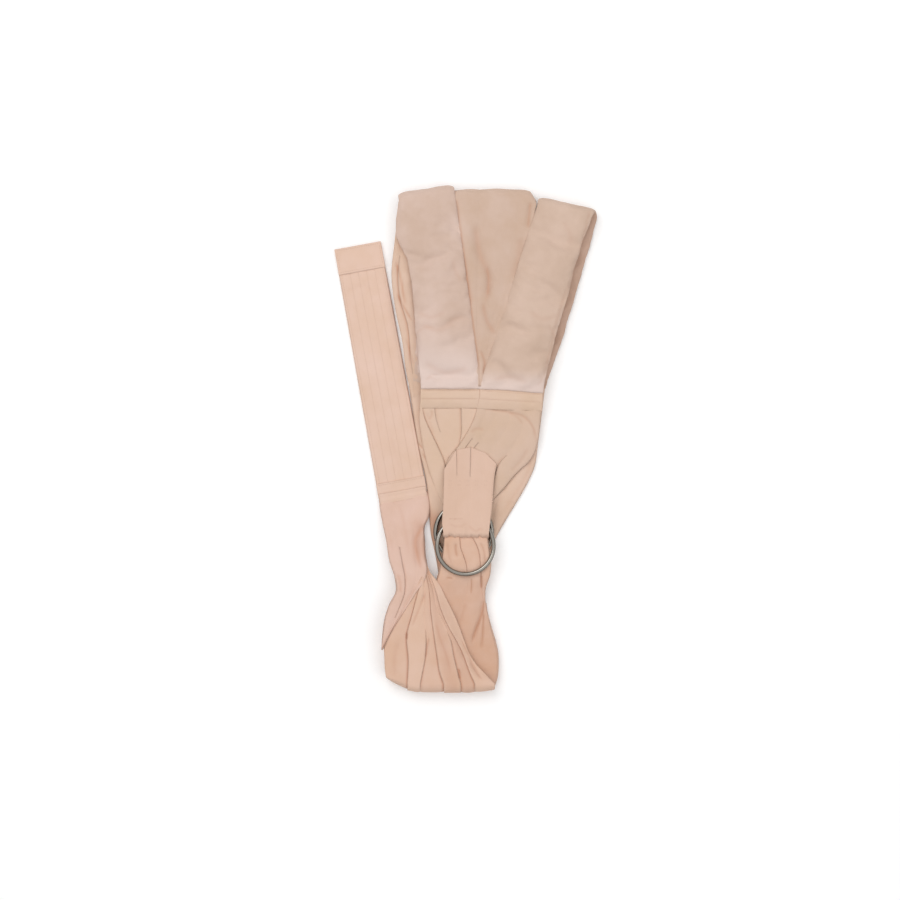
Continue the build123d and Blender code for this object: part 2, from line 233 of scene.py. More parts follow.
def pressValleys(points, fold, normals, valleys):  # long creases pressed into the upper side, darkened along their floors with painted shade
    xy = points[:, :2]
    for valley in valleys:
        d, along = nearLine(xy, valley["line"])
        if valley.get("taper", True):
            ends = soft(along, 0, 0.18) * (1 - soft(along, 0.8, 1.0))
        else:
            ends = 1 - soft(along, 0.9, 1.0)
        near = np.exp(-((d / valley["width"]) ** 2)) * ends
        points -= normals * (valley["depth"] * near)[:, None]
        if valley["depth"] > 0:
            fold += valley.get("dark", 0.6) * np.exp(-((d / (0.55 * valley["width"])) ** 2)) * ends
    return points, fold


def gatheredBody(name, cut):
    # a closed piece of gathered cloth: pleated above, plainer below, layered at its sides
    ribs = cut["ribs"]
    step = cut.get("step", 2.4)
    lumpRise, seed = cut.get("lumpRise", 0.7), cut.get("seed", 1)
    wallShade = 0.25
    longest = max(np.linalg.norm(np.diff(smoothLine(r["line"], 60), axis=0), axis=1).sum() for r in ribs)
    rows = int(longest / step) + 2
    plan = [smoothLine(r["line"], rows) for r in ribs]
    up = np.tile([0.0, 0.0, 1.0], (rows, 1))
    flat = [np.c_[p, np.zeros(rows)] for p in plan]
    edge = cut.get("edge", 1.6)
    columns, fold, side = pleats(ribs, flat, up, step, cut["bulges"], cut.get("tints"))
    columns[0] += side[0] * edge
    columns[-1] -= side[-1] * edge
    shape = columns.shape[:2]
    top = columns.reshape(-1, 3).copy()
    low = top.copy()
    low[:, 2] = cut["bottom"](low[:, 0], low[:, 1]) + lumps(low[:, 0], low[:, 1], 14, 0.25, 7)
    rise = top[:, 2].copy()
    top[:, 2] = cut["top"](top[:, 0], top[:, 1]) + rise
    top[:, 2] += lumps(top[:, 0], top[:, 1], cut.get("lumpSize", 22), lumpRise, seed)
    top[:, 2] += lumps(top[:, 0], top[:, 1], 7, lumpRise * 0.25, seed + 5)
    allUp = np.tile([0.0, 0.0, 1.0], (len(top), 1))
    top, shade = pressValleys(top, fold.reshape(-1).copy(), allUp, cut.get("valleys", []))
    if "shade" in cut:
        shade += cut["shade"](top[:, 0], top[:, 1])
    top = top.reshape(shape + (3,))
    low = low.reshape(shape + (3,))
    low[:, :, 2] = np.minimum(low[:, :, 2], top[:, :, 2] - cut.get("thin", 0.8))
    shade = shade.reshape(shape)
    layers = cut.get("layers", 3)
    walls = {}
    for which, column, out in (("left", 0, -1), ("right", -1, 1)):
        wall = []
        for j in range(1, 2 * layers + 1):
            s = j / (2 * layers + 1)
            bow = math.sin(math.pi * s) * edge + (0.35 if j % 2 else -0.35) * min(1, layers - 1)
            place = top[column] * (1 - s) + low[column] * s
            place = place + side[column] * out * bow
            wall.append(place)
        walls[which] = np.array(wall)
    ring = np.concatenate([top, walls["right"], low[::-1], walls["left"][::-1]])
    darkWalls = [np.full(walls[which].shape[:2], wallShade) for which in ("right", "left")]
    ringShade = np.concatenate([shade, darkWalls[0], np.zeros(low.shape[:2]), darkWalls[1]])
    count = len(ring)
    index = np.arange(count * rows).reshape(count, rows)
    faces = []
    for c in range(count):
        d = (c + 1) % count
        for r in range(rows - 1):
            faces.append((index[c, r], index[d, r], index[d, r + 1], index[c, r + 1]))
    nTop, nWall = len(top), len(walls["right"])
    for r in (0, rows - 1):
        for c in range(nTop - 1):
            under = nTop + nWall + (nTop - 1 - c)
            faces.append((index[c, r], index[c + 1, r], index[under - 1, r], index[under, r]))
        faces.append([index[c, r] for c in range(nTop - 1, nTop + nWall + 1)])
        faces.append([index[c % count, r] for c in range(2 * nTop + nWall - 1, count + 1)])
    faces = [tuple(int(k) for k in f) for f in faces]
    points = ring.reshape(-1, 3)
    piece = makeMesh(name, points, faces)
    foldShade(piece, points, ringShade.reshape(-1))
    return piece


def pleatedSheet(name, cut):  # one ply of pleated cloth that may turn over a fold
    ribs, step = cut["ribs"], cut.get("step", 2.4)
    lines, normals = cut["lines"], cut["normals"]
    rows = len(normals)
    columns, fold, side = pleats(ribs, lines, normals, step, cut["bulges"], cut.get("tints"))
    leftSkirt, rightSkirt = cut.get("skirt", (0, 0))
    for depth, column, out in ((leftSkirt, 0, -1), (rightSkirt, -1, 1)):
        if not depth:
            continue
        base = columns[column]
        for share in (0.25, 0.6, 1.0):
            hang = (base - normals * depth * share - side[column] * out * 0.8 * share)[None]
            shade = np.full((1, rows), 0.2)
            columns = np.concatenate([hang, columns] if column == 0 else [columns, hang])
            fold = np.concatenate([shade, fold] if column == 0 else [fold, shade])
    shape = columns.shape[:2]
    points = columns.reshape(-1, 3).copy()
    allNormals = np.tile(normals, (shape[0], 1))
    lumpSize, lumpRise = cut.get("lumpSize", 22), cut.get("lumpRise", 0.6)
    wave = lumps(points[:, 0], points[:, 1] + 3 * points[:, 2], lumpSize, lumpRise, cut["seed"])
    points += allNormals * wave[:, None]
    upper = allNormals[:, 2] > 0.5
    whole = fold.reshape(-1).copy()
    above, dark = points[upper].copy(), whole[upper].copy()
    points[upper], whole[upper] = pressValleys(above, dark, allNormals[upper], cut.get("valleys", []))
    if "reshape" in cut:
        points = cut["reshape"](points, allNormals)
    index = np.arange(shape[0] * shape[1]).reshape(shape)
    faces = []
    for c in range(shape[0] - 1):
        for r in range(shape[1] - 1):
            corners = (index[c, r], index[c + 1, r], index[c + 1, r + 1], index[c, r + 1])
            faces.append(tuple(int(k) for k in corners))
    mesh = bpy.data.meshes.new(name)
    mesh.from_pydata([tuple(p) for p in points * mm], [], faces)
    mesh.shade_smooth()
    piece = bpy.data.objects.new(name, mesh)
    bpy.context.scene.collection.objects.link(piece)
    middle = mesh.polygons[len(mesh.polygons) // 2]
    if np.dot(np.array(middle.normal), normals[rows // 2]) < 0:
        mesh.flip_normals()
    keepValues(piece, "fold", whole)
    applyModifier(piece, "SOLIDIFY", "ply", thickness=cut.get("ply", 1.0) * mm, offset=-1)
    for v in piece.data.vertices:
        v.co.z = max(v.co.z, 0.1 * mm)
    return piece


# finishes
class Wire:  # a shader socket that takes part in sums
    def __init__(self, tree, socket):
        self.tree, self.socket = tree, socket

    def math(self, how, other, flip=False):
        n = self.tree.nodes.new("ShaderNodeMath")
        n.operation = how
        for k, value in enumerate((other, self) if flip else (self, other)):
            if isinstance(value, Wire):
                self.tree.links.new(value.socket, n.inputs[k])
            else:
                n.inputs[k].default_value = value
        return Wire(self.tree, n.outputs[0])

    def __add__(self, other):
        return self.math("ADD", other)

    __radd__ = __add__

    def __mul__(self, other):
        return self.math("MULTIPLY", other)

    __rmul__ = __mul__

    def __sub__(self, other):
        return self.math("SUBTRACT", other)

    def __rsub__(self, other):
        return self.math("SUBTRACT", other, True)

    def node(self, kind, settings=None, output=0, **values):
        n = self.tree.nodes.new(kind)
        for key, value in (settings or {}).items():
            setattr(n, key, value)
        for key, value in values.items():
            numbered = key[0] == "i" and key[1:].isdigit()  # i6 is the seventh input
            place = n.inputs[int(key[1:]) if numbered else key.replace("_", " ")]
            if isinstance(value, Wire):
                self.tree.links.new(value.socket, place)
            else:
                place.default_value = value
        return Wire(self.tree, n.outputs[output])

    def noise(self, scale, detail=2.0, rough=0.5, twist=0.0):
        return self.node(
            "ShaderNodeTexNoise", Vector=self, Scale=scale, Detail=detail, Roughness=rough, Distortion=twist
        )

    def mix(self, share, first, second, blend="MIX"):
        how = {"data_type": "RGBA", "blend_type": blend}
        return self.node("ShaderNodeMix", how, output=2, i0=share, i6=first, i7=second)

    def feed(self, shader, name):
        self.tree.links.new(self.socket, shader.inputs[name])


def startMaterial(name):
    material = bpy.data.materials.new(name)
    material.use_nodes = True
    tree = material.node_tree
    shader = tree.nodes["Principled BSDF"]
    coordinates = tree.nodes.new("ShaderNodeTexCoord")
    return material, tree, shader, Wire(tree, coordinates.outputs["Object"])


def linear(rgb):  # colour on a screen, 0 to 255, as light
    c = [v / 255 for v in rgb]
    return tuple(v / 12.92 if v <= 0.04045 else ((v + 0.055) / 1.055) ** 2.4 for v in c) + (1.0,)


# paler colour that the pads' upper side takes on towards its lower end
paleEndColour = (226, 205, 196)
weave = {
    "thread": 0.62, "blushScale": 16.0, "cloudScale": 70.0, "slubScale": 900.0, "crumpleScale": 95.0,
    "crumple": 0.25, "foldShadeStrength": 0.75, "sheen": 0.12, "shine": 0.25,
}
fullTurn = 6283.0  # one wave of the weave, in thousandths


def clothFinish(name, look):  # woven cotton: threads, slubs and blush, with painted warm shade in folds
    material, tree, shader, at = startMaterial(name)
    broad = at.noise(weave["blushScale"], 3.0, 0.55)
    cloudy = at.noise(weave["cloudScale"], 4.0, 0.6)
    patches = broad * 0.75 + cloudy * 0.25
    blush = at.node("ShaderNodeMapRange", Value=patches, From_Min=0.36, From_Max=0.66)
    parts = at.node("ShaderNodeSeparateXYZ", Vector=at).socket.node
    x, y, z = (Wire(tree, parts.outputs[k]) for k in range(3))
    turn = math.radians(look.get("grain", 0.0))
    warp = (x * math.cos(turn) + y * math.sin(turn)) * (fullTurn / weave["thread"])
    weft = (y * math.cos(turn) - x * math.sin(turn) + z) * (fullTurn / weave["thread"])
    slub = at.noise(weave["slubScale"])
    wave = warp.math("SINE", 0.0) * weft.math("SINE", 0.0)
    relief = wave * 0.5 + slub * 0.9
    fold = at.node("ShaderNodeAttribute", {"attribute_name": "fold"}, output=2)
    paleShare = at.node("ShaderNodeAttribute", {"attribute_name": "pale"}, output=2)
    base = at.mix(blush, linear(look["colour"]), linear(look["blush"]))
    threads = at.mix(0.5 - wave * 0.25 - slub * 0.3, base, (0.93, 0.90, 0.88, 1.0), "MULTIPLY")
    paled = at.mix(paleShare, threads, linear(paleEndColour))
    # painted shade: the fold attribute blends each look's fold colour into creases, under laps and on hidden
    # sides
    deep = fold.math("MINIMUM", 1.0) * weave["foldShadeStrength"]
    at.mix(deep, paled, linear(look["fold"])).feed(shader, "Base Color")
    (0.82 + slub * 0.12).feed(shader, "Roughness")
    bump = at.node("ShaderNodeBump", Strength=look.get("bump", 0.35), Distance=0.00012, Height=relief)
    creased = {"Strength": weave["crumple"], "Distance": 0.0012, "Normal": bump}
    crumple = at.noise(weave["crumpleScale"], 5.0, 0.55, 0.6)
    at.node("ShaderNodeBump", Height=crumple, **creased).feed(shader, "Normal")
    shader.inputs["Sheen Weight"].default_value = weave["sheen"]
    shader.inputs["Sheen Roughness"].default_value = 0.5
    shader.inputs["Specular IOR Level"].default_value = weave["shine"]
    return material


def threadFinish(name, colour):  # twisted sewing thread
    material, tree, shader, at = startMaterial(name)
    twist = at.noise(1400.0)
    at.mix(twist, linear(colour), linear([v * 0.9 for v in colour])).feed(shader, "Base Color")
    (0.55 + twist * 0.2).feed(shader, "Roughness")
    at.node("ShaderNodeBump", Strength=0.5, Distance=0.00008, Height=twist).feed(shader, "Normal")
    return material


def metalFinish(name):  # polished alloy with fine rub marks
    material, tree, shader, at = startMaterial(name)
    rub = at.noise(260.0, 6.0, 0.7)
    at.mix(at.noise(30.0), (0.36, 0.335, 0.30, 1.0), (0.27, 0.25, 0.22, 1.0)).feed(shader, "Base Color")
    (0.12 + rub * 0.14).feed(shader, "Roughness")
    at.node("ShaderNodeBump", Strength=0.12, Distance=0.0001, Height=rub).feed(shader, "Normal")
    shader.inputs["Metallic"].default_value = 1.0
    return material


# each look's fold colour is the painted shade colour for its creases and shaded sides
clothLooks = {
    "pad": {"colour": (208, 181, 164), "blush": (219, 194, 181), "fold": (196, 152, 128), "grain": 7},
    "padRight": {"colour": (205, 178, 159), "blush": (216, 190, 173), "fold": (190, 148, 126), "grain": -16},
    "body": {"colour": (217, 186, 163), "blush": (224, 195, 176), "fold": (196, 142, 112), "bump": 0.4},
    "panel": {"colour": (204, 175, 154), "blush": (213, 187, 171), "fold": (186, 138, 112)},
    "fan": {"colour": (220, 190, 167), "blush": (223, 194, 174), "fold": (188, 138, 110)},
    "fanRight": {"colour": (213, 184, 161), "blush": (217, 189, 170), "fold": (186, 138, 112)},
    "tail": {"colour": (222, 186, 162), "blush": (227, 195, 176), "fold": (184, 128, 102)},
    "neck": {"colour": (221, 187, 169), "blush": (228, 196, 182), "fold": (196, 146, 120)},
    "throat": {"colour": (217, 177, 151), "blush": (224, 190, 170), "fold": (184, 136, 110)},
    "strap": {"colour": (219, 186, 165), "blush": (224, 192, 173), "fold": (196, 150, 126)},
    "tailStrap": {
        "colour": (224, 192, 171), "blush": (230, 200, 184), "fold": (202, 160, 138), "grain": 10.3,
    },
    "binding": {"colour": (219, 190, 166), "blush": (224, 196, 176), "fold": (194, 150, 126)},
}
finishes = {name: clothFinish(name + "Cloth", look) for name, look in clothLooks.items()}
finishes["thread"] = threadFinish("sewingThread", (214, 181, 160))
finishes["metal"] = metalFinish("ringAlloy")


def finishPiece(piece, look, body):
    piece.data.materials.clear()
    piece.data.materials.append(finishes[look])
    if body:
        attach(piece, body)
    return piece


def topOf(pieces):  # finds the upper surface of finished pieces under a place
    trees = []
    above = 90.0
    for piece in pieces:
        corners = [v.co for v in piece.data.vertices]
        trees.append(BVHTree.FromPolygons(corners, [p.vertices for p in piece.data.polygons]))

    def at(x, y):
        best = None
        for tree in trees:
            hit = tree.ray_cast(Vector((x * mm, y * mm, above * mm)), Vector((0, 0, -1)))
            if hit[0] is not None and (best is None or hit[0].z / mm > best):
                best = hit[0].z / mm
        return best

    return at


def stitchRow(name, rows, sew, surface):  # rows of single stitches sunk a little in the cloth
    points, faces = [], []
    sides, radius = 5, sew["radius"]
    thicknesses = ((0.0, 0.35), (0.2, 1.0), (0.8, 1.0), (1.0, 0.35))
    steepest = 1.5
    for row in rows:
        length = np.linalg.norm(np.diff(np.array(row, float), axis=0), axis=1).sum()
        line = smoothLine(row, int(length / sew["pitch"]) * 2 + 1)
        for k in range(0, len(line) - 1, 2):
            a = line[k]
            b = a + (line[k + 1] - a) * (2 * sew["length"] / sew["pitch"])
            za, zb = surface(a[0], a[1]), surface(b[0], b[1])
            if za is None or zb is None or abs(za - zb) > steepest:
                continue
            p, q = np.array([*a, za + radius * 0.25]), np.array([*b, zb + radius * 0.25])
            along = (q - p) / np.linalg.norm(q - p)
            across = np.cross([0, 0, 1], along)
            across /= np.linalg.norm(across)
            up = np.cross(along, across)
            start = len(points)
            for s, r in thicknesses:
                dip = up * (-0.8 * radius if s in (0.0, 1.0) else 0.0)
                for j in range(sides):
                    t = 2 * math.pi * j / sides
                    spoke = across * math.cos(t) + up * math.sin(t)
                    points.append(p + (q - p) * s + dip + spoke * radius * r)
            for i in range(3):
                ring, beyond = start + i * sides, start + (i + 1) * sides
                for j in range(sides):
                    after = (j + 1) % sides
                    faces.append((ring + j, ring + after, beyond + after, beyond + j))
            faces.append([start + j for j in range(sides)][::-1])
            faces.append([start + 3 * sides + j for j in range(sides)])
    return makeMesh(name, points, faces)


print("finishes ready")

# padded shoulder bands
loopTop = nodeBox("left_band_cover")[1][2]  # the folded loop's height
foldMiddle = loopTop / 2
halfPad = 5.2  # from a run's middle to the loop's own top or floor side, before it is swelled
seamY = 72.0
leftBand = {
    "front": ((-65.5, seamY), (22.0, seamY)), "fold": ((-97.6, 346.5), (-16.6, 358.5)), "lean": (0, 0),
    "frontLeft": [
        (0, 0), (0.08, 2), (0.33, 2.6), (0.57, 4.5), (0.69, 2.5), (0.75, -4), (0.81, -10), (0.9, -7), (1, -1),
    ],
    "back": ((-82.5, seamY), (-0.5, seamY)),
    "thick": 9.4, "look": "pad", "cap": 5.0, "seed": 3.0, "pale": (170, 95, 0.8), "backShade": 0.0,
    "dents": [
        crease(1.7, 6, (-70, 168), (-40, 158), (-8, 176), (6, 170)),
        crease(1.0, 5, (-74, 186), (-50, 176), (-26, 186)),
        crease(1.3, 4, (-76, 150), (-58, 162), (-44, 160)),
        crease(1.0, 7, (-64, 112), (-30, 96), (8, 104)),
        crease(0.8, 5, (-20, 262), (-14, 240), (-6, 226)),
        crease(0.8, 4, (-60, 84), (-48, 92), (-36, 86)),
        crease(-1.4, 9, (-52, 136), (-34, 146), (-12, 140)),
        crease(-0.9, 10, (-60, 206), (-30, 212), (-8, 206)),
    ],
}
rightBand = {
    "front": ((18.8, seamY), (111.5, seamY - 6)), "fold": ((104.0, 341.0), (187.8, 323.4)),
    "lean": (-4.1, 3.6),
    "frontRight": [(0, 0), (0.17, -3.8), (0.37, -4.7), (0.54, -3.4), (0.68, -5.0), (0.84, -5.0), (1, 0)],
    "backRight": [(0, 0), (0.3, 2.6), (0.6, 2.6), (0.85, 1.6), (1, 0)],
    "back": ((33.5, seamY), (115.5, seamY)),
    "thick": 9.4, "look": "padRight", "cap": 5.0, "seed": 9.0, "pale": (106, 74, 0.85),
    "backShade": 0.6,  # it lies in the front run's shade
    "dents": [
        crease(1.4, 3.4, (120, 166), (128, 150), (132, 140)),
        crease(0.8, 6, (90, 186), (112, 174), (136, 180)),
        crease(1.2, 4, (112, 104), (118, 116), (112, 130)),
        crease(1.3, 3, (102, 76), (110, 86), (104, 94)),
        crease(0.8, 6, (36, 84), (64, 90), (92, 80)),
        crease(-1.0, 12, (60, 134), (84, 144), (108, 140)),
        crease(0.6, 6, (140, 318), (150, 300), (152, 280)),
        # painted shade along the band's right edge, where its runs shade each other
        crease(
            0.9, 2.4, (180, 331), (168.5, 281), (157, 243), (144, 206), (130, 162), (121, 122),
            (110, 80), dark=0.4, taper=False,
        ),
    ],
}


def bandEdges(cut):  # both long edges of a band's middle, from the front's end over the fold to the back's
    a, b = (np.array(p) for p in cut["fold"])
    along = (b - a) / np.linalg.norm(b - a)
    out = np.array([-along[1], along[0]])
    reach = foldMiddle - halfPad
    cornerShift = {"front": np.array([cut["lean"][0], 0.0]), "back": np.array([cut["lean"][1], 0.0])}
    edges, normals = {"Left": [], "Right": []}, []

    def run(way, t, height):  # one station of the front or back run, t from its seam to the fold
        for k, (which, corner) in enumerate((("Left", a), ("Right", b))):
            top = corner + (cornerShift[way] if which == "Right" else 0)
            p = np.array(cut[way][k]) * (1 - t) + top * t
            bow = cut.get(way + which, [(0, 0), (1, 0)])
            edges[which].append((p[0] + np.interp(t, *zip(*bow)), p[1], height))

    for t in np.linspace(0, 1, 60)[:-1]:
        run("front", t, foldMiddle + reach)
        normals.append((0, 0, 1))
    for turn in np.linspace(0, math.pi, 11):
        for which, corner in (("Left", a), ("Right", b)):
            share = turn / math.pi
            lean = cornerShift["front"] * (1 - share) + cornerShift["back"] * share
            shift = lean if which == "Right" else 0
            p = corner + shift + out * reach * math.sin(turn)
            edges[which].append((p[0], p[1], foldMiddle + reach * math.cos(turn)))
        normals.append((out[0] * math.sin(turn), out[1] * math.sin(turn), math.cos(turn)))
    for t in np.linspace(0, 1, 60)[1:]:
        run("back", 1 - t, foldMiddle - reach)
        normals.append((0, 0, -1))
    return np.array(edges["Left"]), np.array(edges["Right"]), np.array(normals, float)


def bandShell(name, cut):  # slightly slim padded band, before its filling swells it
    left, right, normals = bandEdges(cut)
    across = 17
    s = np.linspace(-0.985, 0.985, across)
    rise = cut["thick"] / 2 * (1 - np.abs(s) ** 7) ** 0.5
    above, below = list(zip(s, rise)), list(zip(s[::-1], -rise[::-1]))
    ring = above + [(1.0, 0.0)] + below + [(-1.0, 0.0)]
    middle, half = (left + right) / 2, (right - left) / 2 * 1.012
    rows = len(middle)
    ends = np.minimum(1, 0.55 + 0.45 * soft(np.minimum(np.arange(rows), np.arange(rows)[::-1]), 0, 3))
    points = np.array([middle + half * u + normals * h * ends[:, None] for u, h in ring])
    count = len(ring)
    index = np.arange(count * rows).reshape(count, rows)
    faces = []
    for c in range(count):
        for r in range(rows - 1):
            d = (c + 1) % count
            faces.append((index[c, r], index[d, r], index[d, r + 1], index[c, r + 1]))
    for r in (0, rows - 1):
        for c in range(across - 1):
            under = 2 * across - c
            faces.append((index[c, r], index[c + 1, r], index[under - 1, r], index[under, r]))
        faces.append((index[across - 1, r], index[across, r], index[across + 1, r]))
        faces.append((index[0, r], index[2 * across, r], index[2 * across + 1, r]))
    piece = makeMesh(name, points.reshape(-1, 3), [tuple(int(k) for k in f) for f in faces])
    tree = pointTree([v.co for v in piece.data.vertices])
    cut["seams"] = [tree.find(p * mm)[1] for column in (across, count - 1) for p in points[column]]
    return piece


stuffing = {
    "quality": 5, "mass": 0.25, "tension_stiffness": 18, "compression_stiffness": 18, "shear_stiffness": 8,
    "bending_stiffness": 0.6, "use_pressure": True, "uniform_pressure_force": 4, "shrink_min": -0.035,
    "vertex_group_mass": "sewn",
}
stuffingFrames = 20


def swell(piece, cut, held):  # the filling presses the cover out; held places stay sewn down
    start = np.array([v.co[:] for v in piece.data.vertices])
    group = piece.vertex_groups.new(name="sewn")
    group.add([k for k, p in enumerate(start) if held(p / mm)], 1.0, "REPLACE")
    group.add([k for k in cut["seams"] if not held(start[k] / mm)], 0.8, "REPLACE")
    onlySelect(piece)
    filling = piece.modifiers.new("filling", "CLOTH")
    rules = filling.settings
    for setting, value in stuffing.items():
        setattr(rules, setting, value)
    rules.effector_weights.gravity = 0
    scene = bpy.context.scene
    for number in range(1, stuffingFrames + 1):
        scene.frame_set(number)
    bpy.ops.object.modifier_apply(modifier="filling")
    piece.vertex_groups.clear()
    now = np.array([v.co[:] for v in piece.data.vertices])
    move = now - start
    far = np.linalg.norm(move, axis=1)
    print(piece.name, "swelled by up to", round(float(far.max() / mm), 1), "mm")
    share = np.minimum(1, cut["cap"] * mm / np.maximum(far, 1e-9))
    foldY = cut["fold"][1][1]
    share *= 1 - 0.85 * soft(start[:, 1] / mm, foldY - 34, foldY - 8)  # the turn stays straight
    setPoints(piece, start + move * share[:, None])
    scene.frame_set(1)
    applyModifier(piece, "SUBSURF", "rounder", levels=1, render_levels=1)


def pressPad(piece, cut):  # dents and soft unevenness on the upper side, with painted shade in the dents and on the back run
    points = np.array([v.co[:] for v in piece.data.vertices]) / mm
    normals = np.array([v.normal[:] for v in piece.data.vertices])
    upper = (points[:, 2] > foldMiddle + 4) & (normals[:, 2] > 0.2)
    fold = np.zeros(len(points))
    straight = np.zeros((int(upper.sum()), 3))
    straight[:, 2] = 1
    dents = [{"dark": 0.22, **dent} for dent in cut["dents"]]
    points[upper], fold[upper] = pressValleys(points[upper].copy(), fold[upper].copy(), straight, dents)
    fold[(points[:, 2] < foldMiddle) & (normals[:, 2] > -0.2)] = cut["backShade"]
    along, seed = points[:, 1] + points[:, 2], cut["seed"]
    wave = lumps(points[:, 0], along, 34, 1.0, seed) + lumps(points[:, 0], along, 13, 0.45, seed + 2)
    points += normals * wave[:, None]
    points[:, 2] = np.maximum(points[:, 2], 0.15)
    setPoints(piece, points * mm)
    start, full, most = cut["pale"]
    pale = most * soft(-points[:, 1], -start, -full) * (points[:, 2] > foldMiddle)  # towards the lower end
    keepValues(piece, "fold", fold)
    keepValues(piece, "pale", pale)


def makeBand(name, cut, nodes):
    piece = bandShell(name, cut)
    swell(piece, cut, lambda p: p[1] < seamY + 4)
    pressPad(piece, cut)
    piece.data.shade_smooth()
    finishPiece(piece, cut["look"], "carrier")
    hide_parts(*nodes)
    return piece


leftPad = makeBand("leftBand", leftBand, ["left_band_cover", "left_band_foam", "left_band_lining"])
rightPad = makeBand("rightBand", rightBand, ["right_band_cover", "right_band_foam", "right_band_lining"])
padSurface = topOf([rightPad])
edgeRow = [[(176, 318), (166, 281), (154.5, 243), (141, 206), (127, 162), (119, 132)]]
edgeSew = {"length": 2.4, "pitch": 3.4, "radius": 0.26}
edgeStitches = stitchRow("rightBandEdgeStitches", edgeRow, edgeSew, padSurface)
finishPiece(edgeStitches, "thread", "carrier")
print("bands done")

# centre panel
panelRise = nodeBox("centre_panel")[1][2]
centrePanel = {
    "bulges": [1.2, 1.0, 0.6, 0.4],
    "lumpRise": 1.4, "lumpSize": 30, "seed": 4, "ply": 1.1,
    "valleys": [
        crease(3.4, 7.5, (12, 318), (20, 268), (34, 232), (30, 204), (24, 190), dark=0.4),
        crease(1.4, 2.6, (30, 254), (32.5, 232), (31, 206), dark=0.45),
        crease(2.6, 5, (24, 200), (30, 172), (44, 150), dark=0.45),
        # painted shadow of the left band's edge on the panel
        crease(0.8, 3.0, (-14.2, 345), (-2.6, 262), (10, 168), (20, 92), dark=0.75, taper=False),
        crease(2.0, 3.5, (94, 346), (92, 326), (90, 304), dark=0.6),
        crease(1.4, 8, (80, 296), (76, 262), (66, 232), dark=0.25),
        crease(1.4, 3.5, (20, 130), (27, 110), (24, 92), dark=0.6),
        crease(1.0, 6, (-6, 268), (2, 228), (10, 190), dark=0.3),
        crease(-1.6, 6, (46, 226), (36, 214), (34, 196)),
    ],
}
turnY = 350.5
panelTop = panelRise - 0.5
panelHalf = (panelRise - 1.1 - 5.0) / 2  # from the middle of the fold to either run
panelFrontRows, panelTurnRows, panelBackRows = 99, 17, 74


def panelRib(front, back, top):  # one line of the panel from its front tip over the fold to the back
    line = [(x, y, panelTop) for x, y in smoothLine(front, panelFrontRows + 1)[:-1]]
    endX, endY = front[-1]
    for turn in np.linspace(0, math.pi, panelTurnRows):
        height = panelTop - panelHalf + panelHalf * math.cos(turn)
        line.append((endX, endY + top * math.sin(turn), height))
    under = smoothLine([front[-1]] + back, panelBackRows + 1)[1:]
    line += [(x, y, panelTop - 2 * panelHalf) for x, y in under]
    return np.array(line)


panelLines = [
    panelRib([(17.5, 76), (3.5, 168), (-9.5, 262), (-18, turnY)], [(-12, 200), (-6, 74)], 12),
    panelRib([(20.2, 76), (16, 180), (18, 272), (20, turnY)], [(12, 200), (10, 74)], 13),
    panelRib([(22.2, 76), (40, 176), (66, 272), (81, turnY)], [(48, 200), (24, 74)], 12.5),
    panelRib([(23.6, 76), (50, 180), (79, 272), (94, turnY - 2)], [(60, 200), (33, 74)], 11.5),
    panelRib([(24.5, 76), (57.5, 180), (87, 272), (102.5, turnY - 10)], [(70, 200), (40, 74)], 6),
]
panelTurn = turnNormals(0, panelTurnRows, 1)
panelNormals = np.array([(0, 0, 1)] * panelFrontRows + panelTurn + [(0, 0, -1)] * panelBackRows, float)
centrePanel.update(ribs=[rib() for _ in panelLines], lines=panelLines, normals=panelNormals)
panelCloth = pleatedSheet("centrePanelCloth", centrePanel)
finishPiece(panelCloth, "panel", "carrier")
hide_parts("centre_panel")
print("centre panel done")

# back run's body cloth
# this piece and the tail's fold give the whole cut's size, but an area that suits the one outer ply drawn;
# lower run, upper run's inside and neck give a size and an area that both suit that ply, not the whole cut
backBody = {
    "ribs": [
        rib(
            (-84, 82), (-77, 34), (-69.5, -12), (-59, -60), (-54.5, -97), (-53.2, -120), (-51, -142),
            (-47, -160), (-43.5, -177), (-40, -200), (-36, -234),
        ),
        rib((-50, 74), (-44, 20), (-38, -40), (-32, -97), (-28, -150), (-24, -234), lap=1.2),
        rib((-8, 74), (-4, 20), (0, -40), (0, -97), (-2, -150), (-2, -234), lap=-1.2),
        rib((40, 74), (44, 20), (40, -40), (32, -97), (24, -150), (16, -234), lap=1.3),
        rib((84, 74), (82, 20), (73, -34), (58, -72), (45.5, -90), (36, -150), (26, -234)),
        rib(
            (115.5, 74), (110, 29), (105.5, -6), (100, -42), (91, -63), (73, -95), (57.5, -121),
            (42, -150), (35, -180), (32, -200), (24, -222), (20, -234),
        ),
    ],
    "bulges": [0.9, 0.7, 0.8, 1.2, 1.6],
    "top": levels((80, 9.0), (40, 8.0), (0, 6.6), (-40, 5.6), (-80, 5.0), (-110, 4.4), (-240, 4.0)),
    "bottom": flatAt(0.35),
    "valleys": [
        crease(0.8, 5, (98, -20), (90, -50), (70, -84), (52, -112), dark=0.2),
        crease(1.2, 2.2, (-76, 0), (-69, -8), (-63, -15), dark=0.8),
        crease(0.8, 2.6, (-66, -18), (-52, -40), (-40, -60), dark=0.5),
    ],
    "layers": 2, "edge": 1.4, "seed": 11, "lumpRise": 0.8,
    "shade": lambda x, y: 0.8 * soft(-y, 98, 120) * soft(-x, 34, 42),
}
backCloth = gatheredBody("backRunCloth", backBody)
finishPiece(backCloth, "body", "carrier")
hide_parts("back_panel")

